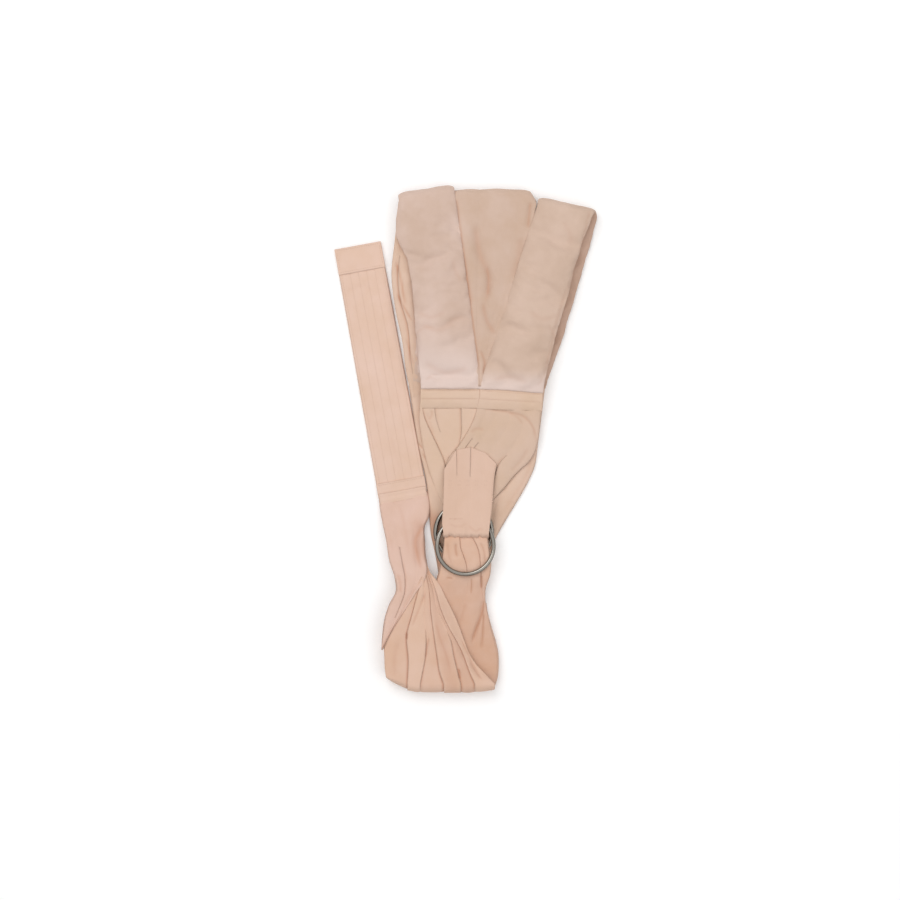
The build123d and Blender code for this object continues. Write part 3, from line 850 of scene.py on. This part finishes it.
sideStrip = {  # body cloth that shows left of the left band, between its two runs
    "ribs": [
        rib(
            (-97.5, 346), (-100.5, 322), (-104.5, 287), (-109, 240), (-103.5, 190), (-93.5, 142),
            (-88, 100), (-82.5, 72), (-78, 46),
        ),
        rib(
            (-90, 344), (-92, 300), (-99, 248), (-96, 204), (-85, 166), (-80, 110), (-75, 74),
            (-70, 48), lap=-1.6, fade=(0.25, 0.85),
        ),
        rib((-78, 342), (-78, 287), (-78, 240), (-74, 190), (-70, 142), (-64, 100), (-60, 74), (-58, 50)),
    ],
    "bulges": [0.8, 1.4],
    "top": levels((346, 14.5), (240, 14.4), (150, 12.6), (90, 10.4), (70, 9.2), (50, 6.0)),
    "bottom": levels((346, 11.2), (150, 10.2), (80, 8.0), (50, 4.0)),
    "valleys": [
        crease(1.8, 3, (-104, 262), (-97, 240), (-92, 214), (-87, 190), dark=0.7),
        crease(1.6, 2.6, (-101, 214), (-95, 200), (-86, 184), (-78, 170), dark=0.7),
        crease(1.0, 2.6, (-88, 148), (-82, 128), (-76, 104), dark=0.4),
    ],
    "layers": 1, "edge": 0.8, "seed": 14, "thin": 1.0, "lumpRise": 1.0,
}
stripCloth = gatheredBody("leftSideCloth", sideStrip)
finishPiece(stripCloth, "body", "carrier")
print("back run done")

# fans
leftFan = {
    "ribs": [
        rib((-66, 54), (-69, 30), (-66, 4), (-58, -34), (-48, -66), (-34, -98)),
        rib((-64, 54), (-62, 34), (-52, 10), (-42, -11), (-32, -34), (-29, -90), lap=1.5, fade=(0.04, 2)),
        rib(
            (-46, 54), (-45, 36), (-37, 8), (-30, -10), (-24, -34), (-20, -66), lap=0.5, fade=(-1, 0.4),
            ease=0.25,
        ),
        rib((-7, 54), (-6.8, 36), (-7, 4), (-10, -10), (-12, -34), (-12, -62), lap=-1.0, fade=(-1, 0.6)),
        rib((18, 54), (16, 36), (8, 4), (0, -10), (-6, -34), (-6, -60)),
    ],
    "bulges": [1.4, 0.5, 0.6, 0.4],
    "top": levels((56, 14.8), (42, 14.2), (20, 12.6), (-20, 9.8), (-60, 7.4), (-75, 6.6)),
    "bottom": levels((56, 8.6), (0, 6.6), (-40, 5.4), (-75, 5.0)),
    "valleys": [
        crease(1.0, 2.6, (-50, 42), (-50, 34), (-54, 27), dark=0.4),
        crease(0.8, 3, (-58, 40), (-52, 22), (-46, 4), dark=0.2),
    ],
    "layers": 1, "edge": 0.9, "seed": 21, "lumpRise": 0.6,
}
rightFan = {
    "ribs": [
        rib((16.5, 56), (13.7, 38), (-1, 6), (-10, -8), (-27, -31), (-31.5, -52), (-32, -80)),
        rib(
            (30, 56), (27, 34), (12, 4), (0, -12), (-9.5, -26), (-12, -50), (-12, -80), lap=1.0,
            fade=(0.4, 0.96), ease=0.2,
        ),
        rib(
            (46, 56), (42, 34), (26, 4), (12, -14), (3, -30), (1, -52), (2, -80), lap=1.0,
            fade=(0.45, 0.98), ease=0.2,
        ),
        rib((66, 56), (64, 32), (52, 4), (38, -16), (28, -32), (22, -54), (20, -80)),
        rib(
            (88, 56), (86, 30), (78, 4), (64, -18), (48, -38), (41, -58), (36, -84), lap=-0.9,
            fade=(0.55, 0.85), ease=0.12,
        ),
        rib(
            (111.5, 56), (109, 28), (104.5, -6), (99.5, -22), (91, -35), (78, -47), (66, -60),
            (56, -73), (38, -92),
        ),
    ],
    "bulges": [0.8, 0.5, 0.6, 1.2, 1.6],
    "top": levels((58, 15.4), (20, 14.2), (-20, 12.4), (-60, 9.2), (-100, 6.6)),
    "bottom": levels((58, 10.4), (0, 9.0), (-40, 7.0), (-100, 4.6)),
    "valleys": [
        crease(1.3, 3.0, (24, 44), (60, 39), (86, 31), (97, 18), (103, -9), dark=0.5),
        crease(0.9, 3, (62, 38), (76, 30), (84, 20), dark=0.3),
        crease(0.9, 4, (92, -12), (80, -32), (64, -50), dark=0.25),
        crease(0.9, 4, (6, 8), (14, 14), (28, 12), dark=0.3),
    ],
    "layers": 2, "edge": 1.3, "seed": 27, "lumpRise": 0.7,
}
leftFanCloth = gatheredBody("leftFanCloth", leftFan)
rightFanCloth = gatheredBody("rightFanCloth", rightFan)
for piece, look, size, area in (
    (leftFanCloth, "fan", (0.16, 0.12), 0.0115), (rightFanCloth, "fanRight", (0.21, 0.15), 0.0215),
):
    finishPiece(piece, look, "carrier")
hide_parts("left_fan")
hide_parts("right_fan")
print("fans done")

# cross bands
leftBinding = {
    "ribs": [
        rib((-66.5, 75), (-67, 58), (-68, 44)),
        rib((20.6, 75), (20.2, 62), (16.6, 44)),
    ],
    "bulges": [0.2], "step": 1.6,
    "top": levels(
        (76, 20.8), (73.4, 20.8), (71, 20.2), (68, 20.5), (60, 20.0), (52, 18.4), (47, 16.6), (44.6, 15.2)
    ),
    "bottom": flatAt(13.4),
    "layers": 1, "edge": 0.8, "lumpRise": 0.5, "lumpSize": 12, "seed": 31,
    "valleys": [crease(0.45, 0.9, (-66, 58.2), (-20, 58.0), (19, 58.2), dark=0.45, taper=False)],
}
rightBindTop = levels(
    (44.6, 15.6), (47, 17.0), (52, 18.8), (60, 20.6), (68, 21.3), (71, 21.0), (73.4, 21.5), (76, 21.5)
)
rightBinding = {
    "ribs": [
        rib((19.6, 75), (19.2, 62), (14.6, 43.5)),
        rib((65, 71), (65, 58), (62, 41.5)),
        rib((112, 68), (112, 54), (110.6, 40)),
    ],
    "bulges": [0.2, 0.2], "step": 1.6,
    "top": lambda x, y: rightBindTop(x, y + 0.058 * (x - 20)),  # it lies a little turned
    "bottom": flatAt(13.2),
    "layers": 1, "edge": 0.8, "lumpRise": 0.5, "lumpSize": 12, "seed": 33,
    "valleys": [crease(0.3, 0.9, (18, 58.2), (66, 55.2), (111, 53), dark=0.2, taper=False)],
}
leftBindCloth = gatheredBody("leftCrossBand", leftBinding)
rightBindCloth = gatheredBody("rightCrossBand", rightBinding)
for piece, node, width in (
    (leftBindCloth, "left_cross_band", 0.088), (rightBindCloth, "right_cross_band", 0.094),
):
    finishPiece(piece, "binding", "carrier")
    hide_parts(node)
bindSurface = topOf([leftBindCloth, rightBindCloth, leftPad, rightPad])
bindSew = {"length": 2.2, "pitch": 3.1, "radius": 0.26}
bindRows = [
    [(-64, 69.6), (-20, 69.5), (18, 69.6)], [(-64, 58), (-20, 57.9), (18, 58)],
    [(23, 69.4), (66, 66.6), (109.5, 63.8)], [(21, 58), (64, 55.2), (109, 52.6)],
]
bindStitches = stitchRow("crossBandStitches", bindRows, bindSew, bindSurface)
finishPiece(bindStitches, "thread", "carrier")
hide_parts("cross_band_stitching")
print("cross bands done")

# rings
frontLow, frontHigh = nodeBox("ring_front")
rearLow, rearHigh = nodeBox("ring_rear")
ringSize = {"wire": 3.25, "around": 120, "section": 28, "weld": 0.14, "weldHalf": 3.2}  # weldHalf is in degrees


def makeRing(name, low, high, turn, node, body, weldAt):  # welded round wire
    outer = (high[0] - low[0]) / 2
    middle = (low + high) / 2
    bpy.ops.object.select_all(action="DESELECT")
    bpy.ops.mesh.primitive_torus_add(
        major_radius=(outer - ringSize["wire"]) * mm, minor_radius=ringSize["wire"] * mm,
        major_segments=ringSize["around"], minor_segments=ringSize["section"],
    )
    ring = bpy.context.object
    ring.name = name
    bpy.ops.object.mode_set(mode="EDIT")
    bm = bmesh.from_edit_mesh(ring.data)
    for v in bm.verts:
        angle = math.degrees(math.atan2(v.co.y, v.co.x))
        v.select = abs(angle - weldAt) < ringSize["weldHalf"]
    bm.select_flush(True)
    bmesh.update_edit_mesh(ring.data)
    bpy.ops.transform.shrink_fatten(value=ringSize["weld"] * mm)
    bpy.ops.object.mode_set(mode="OBJECT")
    ring.rotation_euler = (math.radians(turn), 0, 0)
    ring.location = Vector(middle * mm)
    onlySelect(ring)
    bpy.ops.object.transform_apply(location=True, rotation=True, scale=True)
    ring.data.shade_smooth()
    finishPiece(ring, "metal", body)
    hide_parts(node)


makeRing("frontRing", frontLow, frontHigh, -5, "ring_front", "front_ring", 65)
makeRing("rearRing", rearLow, rearHigh, 0, "ring_rear", "rear_ring", 100)

# ring strap
strapFold = {"y": nodeBox("ring_strap")[0][1] + 7.5, "reach": 7.5, "middle": 16.25, "half": 11.15}
strapTopRows, strapTurnRows, strapUnderRows = 60, 15, 31
strapRise = levels(
    (0, 13.4), (-20, 13.7), (-40, 15.0), (-72, 16.6), (-85, 18.0), (-98, 19.8), (-113, 23.3), (-134, 27.3),
    (-150, 27.5),
)
strapLine = [
    [(-31.9, -45), (-33.4, -99), (-34.8, -124), (-33.2, -137)],
    [(-14.2, -16), (-12.6, -80), (-13, -137)],
    [(7, -12.5), (6, -70), (5, -137)],
    [(28, -20.5), (24, -60), (20, -137)],
    [(44.6, -37), (41, -60), (38, -99), (34.8, -124), (33.2, -137)],
]
strapLines = []
for line in strapLine:
    run = [(x, y, float(strapRise(x, y))) for x, y in smoothLine(line, strapTopRows)]
    startX, endX = line[0][0], line[-1][0]
    for t in np.linspace(0, math.pi, strapTurnRows)[1:]:
        height = strapFold["middle"] + strapFold["half"] * math.cos(t)
        run.append((endX, strapFold["y"] - strapFold["reach"] * math.sin(t), height))
    for s in np.linspace(0, 1, strapUnderRows + 1)[1:]:
        height = 5.1 + 4.0 * soft(s, 0.82, 1.0)
        run.append((endX + (startX - endX) * s * 0.6, strapFold["y"] + 60 * s, height))
    strapLines.append(np.array(run))
strapTurn = turnNormals(1, strapTurnRows, -1)
strapNormals = np.array([(0, 0, 1)] * strapTopRows + strapTurn + [(0, 0, -1)] * strapUnderRows, float)


def bunchFold(points, normals):  # the strap bunches up a little where it turns round the rings
    x = points[:, 0]
    near = soft(points[:, 1], -116, -142) * (points[:, 2] > 8)
    ripple = lumps(x, x * 0, 9, 3.2, 42) + lumps(x, x * 0, 4.5, 1.2, 43)
    points[:, 1] += near * ripple * (1 - soft(np.abs(x), 24, 32))
    points[:, 2] += near * lumps(x, points[:, 1] * 0.3, 8, 1.6, 44) * (normals[:, 2] > 0.3)
    return points


ringStrap = {
    "lines": strapLines, "normals": strapNormals, "step": 1.8,
    "ribs": [rib(), rib(lap=0.45, fade=(-1, 0.18)), rib(lap=0.4, fade=(-1, 0.2)), rib(), rib()],
    "bulges": [0.5, 0.3, 0.3, 0.5], "ply": 1.3, "lumpRise": 0.5, "seed": 41, "reshape": bunchFold,
    "valleys": [
        crease(0.7, 3, (-28, -124), (-10, -128), (4, -122), dark=0.2),
        crease(0.8, 3, (2, -126), (14, -134), (26, -130), dark=0.3),
        crease(0.4, 0.9, (-24, -117), (-14, -117.2), (-4, -117), dark=0.5, taper=False),
    ],
}
strapCloth = pleatedSheet("ringStrapCloth", ringStrap)
finishPiece(strapCloth, "strap", "carrier")
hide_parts("ring_strap")
strapSurface = topOf([strapCloth])
tackRows = [[(x, y), (x + 6, y)] for y in (-62, -68) for x in (-26, -13, 0, 13, 26)]
tackRows += [[(42.2, -40), (39.2, -58), (36.4, -98), (34.2, -132)], [(-24, -117), (-4, -117)]]
tackSew = {"length": 1.9, "pitch": 2.6, "radius": 0.24}
strapStitches = stitchRow("ringStrapStitches", tackRows, tackSew, strapSurface)
finishPiece(strapStitches, "thread", "carrier")
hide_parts("ring_strap_bartacks")
print("rings and strap done")

# throat in the rings and the tail's lower run
lowerRun = {
    "ribs": [
        rib(
            (-32, -141.5), (-34, -165), (-36.5, -178), (-40, -195), (-46, -212), (-66, -236),
            (-95, -270), (-113, -300), (-114, -325), (-110, -345),
        ),
        rib(
            (-10, -141.5), (-8, -161), (-4, -172), (1, -189), (2, -215), (-8, -250), (-34, -300),
            (-50, -340), (-52, -368), lap=1.5, fade=(-1, 0.24), ease=0.08,
        ),
        rib(
            (9, -141.5), (19, -164), (22, -188), (22.5, -218), (24, -240), (18, -268), (12, -300),
            (8, -340), (8, -368), lap=-1.4, fade=(-1, 0.36), ease=0.08,
        ),
        rib(
            (32, -141.5), (34.5, -165), (36.5, -180), (35, -199), (28.5, -220), (28, -233), (32, -256),
            (37, -275), (43, -295), (47, -314), (47.6, -330), (46, -350), (40, -368),
        ),
    ],
    "bulges": [1.6, 1.8, 1.6],
    "top": levels(
        (-141, 18.6), (-147, 20.2), (-154, 20.2), (-165, 19.6), (-204, 18.6), (-221, 15.6), (-240, 14.2),
        (-300, 13.6), (-368, 12.4),
    ),
    "bottom": levels((-147, 5.4), (-232, 5.2), (-242, 1.7), (-368, 1.7)),
    "valleys": [
        crease(1.6, 2.2, (-15, -152), (-15, -162), (-13, -174), dark=0.8),
        crease(1.2, 2.4, (20, -150), (26, -164), (28, -184), dark=0.5),
        crease(1.0, 3, (-28, -150), (-26, -166), (-20, -186), dark=0.3),
        crease(2.0, 1.8, (22.5, -198), (22.8, -208), (22.4, -220), dark=1.0),
        crease(1.2, 1.8, (7.6, -203), (7.8, -214), (7.0, -228), dark=0.7),
        crease(1.2, 1.8, (-30, -205), (-25, -203), (-19, -204), dark=0.7),
        crease(2.6, 2.6, (27, -232), (23, -256), (15, -278), (7, -302), dark=1.0),
        crease(1.8, 2.2, (25.5, -252), (24.5, -282), (22, -310), dark=0.8),
        crease(1.0, 4, (0, -240), (-6, -258), (-8, -270), dark=0.2),
    ],
    "layers": 3, "edge": 1.8, "seed": 51, "lumpRise": 1.0,
    "shade": lambda x, y: 0.28 * soft(-y, 188, 215),
}
lowerCloth = gatheredBody("lowerRunCloth", lowerRun)
finishPiece(lowerCloth, "throat", "carrier")
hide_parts("ring_throat", "lower_run")
print("lower run done")

# the tail's upper run
fanEdge = [
    (-56, -186), (-51.5, -196), (-45, -204), (-38, -214), (-30, -231), (-19, -253), (-8, -279), (-1.5, -298),
    (5, -314), (14, -328), (28, -343), (42, -357),
]


def innerTop(x, y):
    d, along = nearLine(np.c_[x, y], fanEdge)
    return 22.6 - 6.4 * (1 - soft(d, 1, 16))


upperInner = {
    "ribs": [
        rib(
            (-104, -203), (-101, -222), (-111, -242), (-117, -262), (-120, -283), (-120.5, -304),
            (-116, -322), (-114.5, -334), (-111, -345),
        ),
        rib((-84, -203), (-80, -240), (-84, -290), (-70, -366), lap=0.6),
        rib((-62, -203), (-52, -240), (-40, -290), (-24, -366)),
        rib(
            (-50, -203), (-41, -220), (-31, -238), (-20, -258), (-10, -281), (-4, -299), (2, -315),
            (12, -329), (26, -345), (38, -366),
        ),
    ],
    "bulges": [0.4, 0.4, 0.2], "top": innerTop, "bottom": flatAt(13.5),
    "layers": 3, "edge": 1.6, "seed": 57, "lumpRise": 0.4, "step": 3.2,
}
innerCloth = gatheredBody("upperRunInside", upperInner)
finishPiece(innerCloth, "tail", "tail_run")
print("inside of the upper run done")

turnCentre, turnReach = 13.05, 12.85
skinTop = levels((-200, 24.6), (-230, 24.8), (-300, 25.3), (-357.1, 25.9))
skinTopRows, skinTurnRows, skinUnderRows = 76, 21, 43
foldLine = -357.1
skinPlan = [  # each line's upper run, how far its turn reaches out, and its run on the floor
    (
        [
            (-66, -203), (-86, -236), (-105, -270), (-119, -302), (-118.8, -322), (-118.4, -334),
            (-116.8, -345),
        ],
        0.3, [(-115, -312), (-92, -276), (-62, -248)],
    ),
    (
        [(-62, -198), (-69, -222), (-78, -256), (-86, -288), (-83.5, -322), (-84, -342), (-85, -355.6)],
        0.8, [(-84, -312), (-70, -276), (-48, -246)],
    ),
    (
        [(-60.5, -195), (-61, -226), (-61, -256), (-58, -290), (-60, -321), (-64, -342), (-67, foldLine)],
        0.98, [(-64, -312), (-52, -276), (-38, -245)],
    ),
    (
        [(-59, -192), (-53.5, -216), (-50.4, -254), (-46.5, -285), (-42, -315), (-38, -340), (-32, foldLine)],
        0.96, [(-30, -312), (-24, -276), (-18, -244)],
    ),
    (
        [
            (-58, -190), (-48.5, -218), (-41, -252), (-31, -272), (-22, -296), (-18, -318), (-13, -338),
            (-8, foldLine),
        ],
        1.0, [(-6, -312), (-4, -276), (-2, -243)],
    ),
    (
        [
            (-57, -188), (-45.5, -216), (-36, -248), (-26, -272), (-13, -295), (-2, -318), (5, -338),
            (13, foldLine),
        ],
        0.98, [(16, -312), (12, -276), (10, -242)],
    ),
    (fanEdge[:-1] + [(42, foldLine)], 0.72, [(46, -330), (40, -300), (33, -262), (30, -241)]),
]


def skinRib(top, corner, back):
    line = [(x, y, float(skinTop(x, y))) for x, y in smoothLine(top, skinTopRows)]
    endX, endY = top[-1]
    for t in np.linspace(0, math.pi, skinTurnRows)[1:]:
        line.append((endX, endY - turnReach * math.sin(t) * corner, turnCentre + turnReach * math.cos(t)))
    for x, y in smoothLine([top[-1]] + back, skinUnderRows + 1)[1:]:
        line.append((x, y, turnCentre - turnReach))
    return np.array(line)


def easeEdge(points, normals):  # the fan thins out towards its free right edge
    upper = normals[:, 2] > 0.9
    d, along = nearLine(points[:, :2], fanEdge)
    drop = 5.6 * (1 - soft(d, 1.5, 17)) * (1 - soft(points[:, 1], -338, -357))
    points[:, 2] -= np.where(upper, drop, 0)
    low = normals[:, 2] < -0.9
    points[:, 2] = np.where(low, np.clip(points[:, 2], 0.15, 0.9), points[:, 2])
    return points


skinLines = [skinRib(*plan) for plan in skinPlan]
skinTurn = turnNormals(1, skinTurnRows, -1)
skinNormals = np.array([(0, 0, 1)] * skinTopRows + skinTurn + [(0, 0, -1)] * skinUnderRows, float)
tailSkin = {
    "lines": skinLines, "normals": skinNormals, "step": 1.9, "ply": 0.9,
    "ribs": [
        rib(), rib(lap=-1.9, fade=(0.04, 0.72), ease=0.06), rib(lap=1.1, fade=(0.28, 0.62), ease=0.08),
        rib(lap=-2.0, fade=(-1, 0.66), ease=0.06), rib(lap=1.3, fade=(0.3, 0.66), ease=0.06),
        rib(lap=-1.6, fade=(0.1, 0.62), ease=0.08), rib(),
    ],
    # tints paint shade on the panels that slope away from the light
    "bulges": [1.6, 1.7, 1.5, 1.6, 1.3, 1.2], "tints": [0.1, 0.0, 0.12, 0.32, 0.32, 0.05],
    "lumpRise": 0.7, "lumpSize": 20, "seed": 61, "reshape": easeEdge,
    "skirt": (6.5, 2.0),
    "valleys": [
        crease(0.9, 2.4, (-58, -222), (-70, -252), (-80, -276), dark=0.4),
        crease(0.9, 2.0, (-54, -288), (-57, -305), (-59, -321), dark=0.5),
        crease(0.9, 3.0, (-45, -262), (-38, -290), (-28, -318), (-22, -346), dark=0.25),
        crease(1.6, 1.8, (-11, -334), (-9.5, -342), (-9, -350), dark=1.0),
        crease(1.6, 1.8, (-86, -282), (-86.5, -288), (-86, -293), dark=1.0),
        crease(0.7, 5, (-98, -292), (-104, -320), (-104, -350), dark=0.15),
        crease(1.0, 2.4, (4, -322), (14, -340), (24, -352), dark=0.5),
        crease(0.8, 2.0, (-8, -290), (2, -312), (12, -332), (22, -348), dark=0.4),
    ],
}
skinCloth = pleatedSheet("tailFoldCloth", tailSkin)
finishPiece(skinCloth, "tail", None)
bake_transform(skinCloth)
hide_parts("upper_run")
print("tail fold done")

# neck and its flap over the fan
strapLean = math.radians(10.3)
seamMiddle = np.array([-92.512, -82.5])
neckRise = levels(
    (-76, 6.0), (-90, 7.0), (-110, 9.8), (-201, 23.6), (-212, 25.4), (-225, 26.4), (-309, 27.0)
)


def neckTop(x, y):  # lies low beside the seam, so that the strap can fold over it
    away = (x - seamMiddle[0]) * math.sin(strapLean) - (y - seamMiddle[1]) * math.cos(strapLean)
    return np.minimum(neckRise(x, y), np.interp(away, [0, 4, 10, 22, 34], [3.9, 4.4, 6.2, 11.5, 60]))


def neckShade(x, y):
    return 0.5 * np.exp(-(((x + 69) / 9) ** 2)) * soft(-y, 110, 130) * (1 - soft(-y, 165, 192))


neck = {
    "ribs": [
        rib(
            (-127.5, -88), (-126, -102), (-122, -124), (-117, -147), (-111.5, -180), (-104, -203),
            (-102, -221), (-112, -242), (-118.5, -262), (-121.5, -283), (-123, -306),
        ),
        rib(
            (-106, -86), (-103, -120), (-98, -150), (-93, -180), (-89, -205), (-90, -226), (-98, -249),
            (-107, -271), (-115, -290), (-122.6, -307), lap=0.9, fade=(0.3, 0.8), ease=0.2,
        ),
        rib(
            (-80, -81), (-78, -112), (-75, -138), (-74, -166), (-71, -196), (-75, -217), (-86, -240),
            (-98, -261), (-110, -282), (-122.4, -307.5),
        ),
        rib(
            (-56, -77), (-53, -103), (-55, -116), (-60.5, -129), (-60, -150), (-59, -170), (-56, -193),
            (-59, -207), (-70.5, -222), (-82.5, -241), (-97, -262), (-110, -283), (-122, -308),
        ),
    ],
    "bulges": [1.4, 1.3, 1.6],
    "top": neckTop,
    "bottom": levels((-76, 0.4), (-95, 0.7), (-201, 13.4), (-206, 21.4), (-214, 24.4), (-309, 26.0)),
    "valleys": [
        crease(2.6, 5, (-57, -121), (-66, -133), (-74, -148), (-71, -170), (-64, -194), dark=0.5),
        crease(1.2, 3, (-60, -140), (-62, -160), (-58, -184), dark=0.5),
        crease(1.1, 5, (-98, -92), (-92, -120), (-86, -150), (-82, -176), dark=0.2),
        crease(1.6, 3, (-100, -196), (-96, -210), (-95, -226), dark=0.4),
        crease(0.8, 3, (-62, -202), (-72, -216), (-84, -232), (-96, -252), dark=0.15),
        crease(0.9, 4, (-118, -120), (-112, -142), (-106, -168), dark=0.15),
    ],
    "layers": 2, "edge": 1.6, "seed": 71, "lumpRise": 1.0, "thin": 1.1,
    "shade": neckShade,
}
neckCloth = gatheredBody("neckCloth", neck)
finishPiece(neckCloth, "neck", "tail_run")
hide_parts("tail_neck")
print("neck done")

# quilted tail strap
tailStrap = {"length": 371.0, "foot": 72.0, "end": 69.0, "rows": 6, "pitch": 12.2, "hem": 38.0, "band": 22.0}


def strapPlace(x, y):  # from the strap's own width and length to the plan
    c, s = math.cos(strapLean), math.sin(strapLean)
    return (seamMiddle[0] + x * c - y * s, seamMiddle[1] + x * s + y * c)


def strapHalf(y):
    return (tailStrap["foot"] + (tailStrap["end"] - tailStrap["foot"]) * y / tailStrap["length"]) / 2


def strapRib(share, y0, y1, inset=0.0):
    return [strapPlace(share * (strapHalf(y) - inset), y) for y in np.linspace(y1, y0, 5)]


rowPlaces = [(k - (tailStrap["rows"] - 1) / 2) * tailStrap["pitch"] for k in range(tailStrap["rows"])]
rowShares = [-1.0] + [x / 35.0 for x in rowPlaces] + [1.0]
quilt = {
    "ribs": [rib(*strapRib(s, 0.5, tailStrap["length"])) for s in rowShares],
    "bulges": [0.25, 0.38, 0.34, 0.42, 0.34, 0.38, 0.25], "step": 1.9,
    "top": flatAt(4.35), "bottom": flatAt(0.3),
    "layers": 1, "edge": 1.4, "seed": 81, "lumpRise": 0.7, "lumpSize": 26,
    "valleys": [
        crease(0.5, 4, (-112, 10), (-104, -20), (-96, -52), dark=0.12),
        crease(0.5, 5, (-176, 214), (-150, 224), (-134, 214), dark=0.1),
    ],
}
quiltCloth = gatheredBody("tailStrapQuilted", quilt)
finishPiece(quiltCloth, "tailStrap", "tail_end")
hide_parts("tail_top_ply", "tail_interlining", "tail_bottom_ply")
hemStart, hemEnd = tailStrap["length"] - tailStrap["hem"], tailStrap["length"] + 0.3


def acrossStrap(y0, y1, top, seed):  # a flat band of cloth right across the strap
    return {
        "ribs": [rib(*strapRib(s, y0, y1, -0.1)) for s in (-1, -0.33, 0.33, 1)], "bulges": [0.25, 0.3, 0.25],
        "step": 1.8, "top": flatAt(top), "bottom": flatAt(3.9), "layers": 1, "edge": 1.0, "seed": seed,
        "lumpRise": 0.35,
    }


hem = acrossStrap(hemStart, hemEnd, 5.25, 85)
seamBand = acrossStrap(0.6, tailStrap["band"], 5.6, 87)
hemCloth = gatheredBody("tailEndHem", hem)
bandCloth = gatheredBody("tailSeamBand", seamBand)
for piece, node, size in (
    (hemCloth, "tail_end_hem", (0.07, 0.038)), (bandCloth, "tail_seam_band", (0.072, 0.022)),
):
    finishPiece(piece, "tailStrap", "tail_end")
    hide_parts(node)

sleeveRows = 14  # the seam allowance that joins the neck to the strap
sleeveLines = []
for s in np.linspace(-0.97, 0.97, 4):
    places = [strapPlace(s * 36, y) for y in np.linspace(7, -8, sleeveRows)]
    waved = [(x, y, 6.75 + 0.35 * math.sin(k * 0.9)) for k, (x, y) in enumerate(places)]
    sleeveLines.append(np.array(waved))
sleeve = {
    "lines": sleeveLines, "normals": np.tile([0.0, 0.0, 1.0], (sleeveRows, 1)), "ribs": [rib()] * 4,
    "bulges": [0.3, 0.3, 0.3], "ply": 0.8, "lumpRise": 0.3, "seed": 91, "step": 1.8,
}
sleeveCloth = pleatedSheet("tailSeamStrip", sleeve)
finishPiece(sleeveCloth, "tailStrap", None)
seamStart, seamEnd = ((x * mm, y * mm, 0.006) for x, y in (strapPlace(0, -4), strapPlace(0, 4)))
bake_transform(sleeveCloth)
tailSurface = topOf([quiltCloth, hemCloth, bandCloth])
quiltRows = [[strapPlace(x, y) for y in np.linspace(332, 23, 6)] for x in rowPlaces]
half = 31.5
for y in (336.5, 368.5):
    quiltRows.append([strapPlace(x, y) for x in (-half, 0, half)])
for x in (-half, half):
    quiltRows.append([strapPlace(x, y) for y in (366, 352, 339)])
quiltRows.append([strapPlace(x, 19.5) for x in (-33, 0, 33)])
quiltSew = {"length": 2.3, "pitch": 3.3, "radius": 0.26}
tailStitches = stitchRow("tailStrapStitches", quiltRows, quiltSew, tailSurface)
finishPiece(tailStitches, "thread", "tail_end")
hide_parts("tail_stitching")
print("tail strap done")

# floor, light, camera
bpy.ops.object.select_all(action="DESELECT")
bpy.ops.mesh.primitive_plane_add(size=60, location=(0, 0, -0.0004))
floor = bpy.context.object
floor.name = "floor"
floorMaterial, _, floorShader, _ = startMaterial("paleFloor")
for name, value in (
    ("Base Color", (0.98, 0.98, 0.98, 1)), ("Roughness", 0.9), ("Specular IOR Level", 0.1),
    ("Emission Color", (1, 1, 1, 1)), ("Emission Strength", 0.06),  # paper white
):
    floorShader.inputs[name].default_value = value
floor.data.materials.append(floorMaterial)

studio = {
    "sky": 0.90, "key": 28.0, "keyPlace": (-1.1, 1.5, 2.6), "keySize": 2.2,
    "fill": 6.5, "fillPlace": (1.6, -0.8, 2.4), "fillSize": 2.0,
    "walls": ((0.0, 0.10), (0.30, 0.25), (0.55, 1.0)),  # brightness by height: dark walls, bright ceiling
}
world = bpy.context.scene.world or bpy.data.worlds.new("studio")
bpy.context.scene.world = world
world.use_nodes = True
sky = world.node_tree.nodes["Background"]
skyAt = Wire(world.node_tree, world.node_tree.nodes.new("ShaderNodeTexCoord").outputs["Generated"])
height = skyAt.node("ShaderNodeSeparateXYZ", output=2, Vector=skyAt)
skyRamp = height.node("ShaderNodeValToRGB", Fac=height)
stops = skyRamp.socket.node.color_ramp.elements
stops.new(studio["walls"][-1][0])
for stop, (place, tone) in zip(stops, studio["walls"]):
    stop.position = place
    stop.color = (tone, tone, tone, 1)
skyRamp.feed(sky, "Color")
sky.inputs["Strength"].default_value = studio["sky"]


def softLight(name, place, size, power):
    light = bpy.data.lights.new(name, "AREA")
    light.shape = "DISK"
    light.size = size
    light.energy = power
    lamp = bpy.data.objects.new(name, light)
    bpy.context.scene.collection.objects.link(lamp)
    lamp.location = place
    lamp.rotation_mode = "QUATERNION"
    lamp.rotation_quaternion = Vector(place).to_track_quat("Z", "Y")


softLight("keyLight", studio["keyPlace"], studio["keySize"], studio["key"])
softLight("fillLight", studio["fillPlace"], studio["fillSize"], studio["fill"])
bpy.context.scene.view_settings.view_transform = "Standard"

view = {"middle": (-23.4, -16.8), "wide": 1314.0, "lens": 85.0, "sensor": 36.0, "over": 15.0}
camera = bpy.data.cameras.new("camera")
camera.lens = view["lens"]
camera.sensor_width = view["sensor"]
cameraStand = bpy.data.objects.new("camera", camera)
bpy.context.scene.collection.objects.link(cameraStand)
cameraRise = view["wide"] * view["lens"] / view["sensor"] + view["over"]
cameraStand.location = (view["middle"][0] * mm, view["middle"][1] * mm, cameraRise * mm)
bpy.context.scene.camera = cameraStand
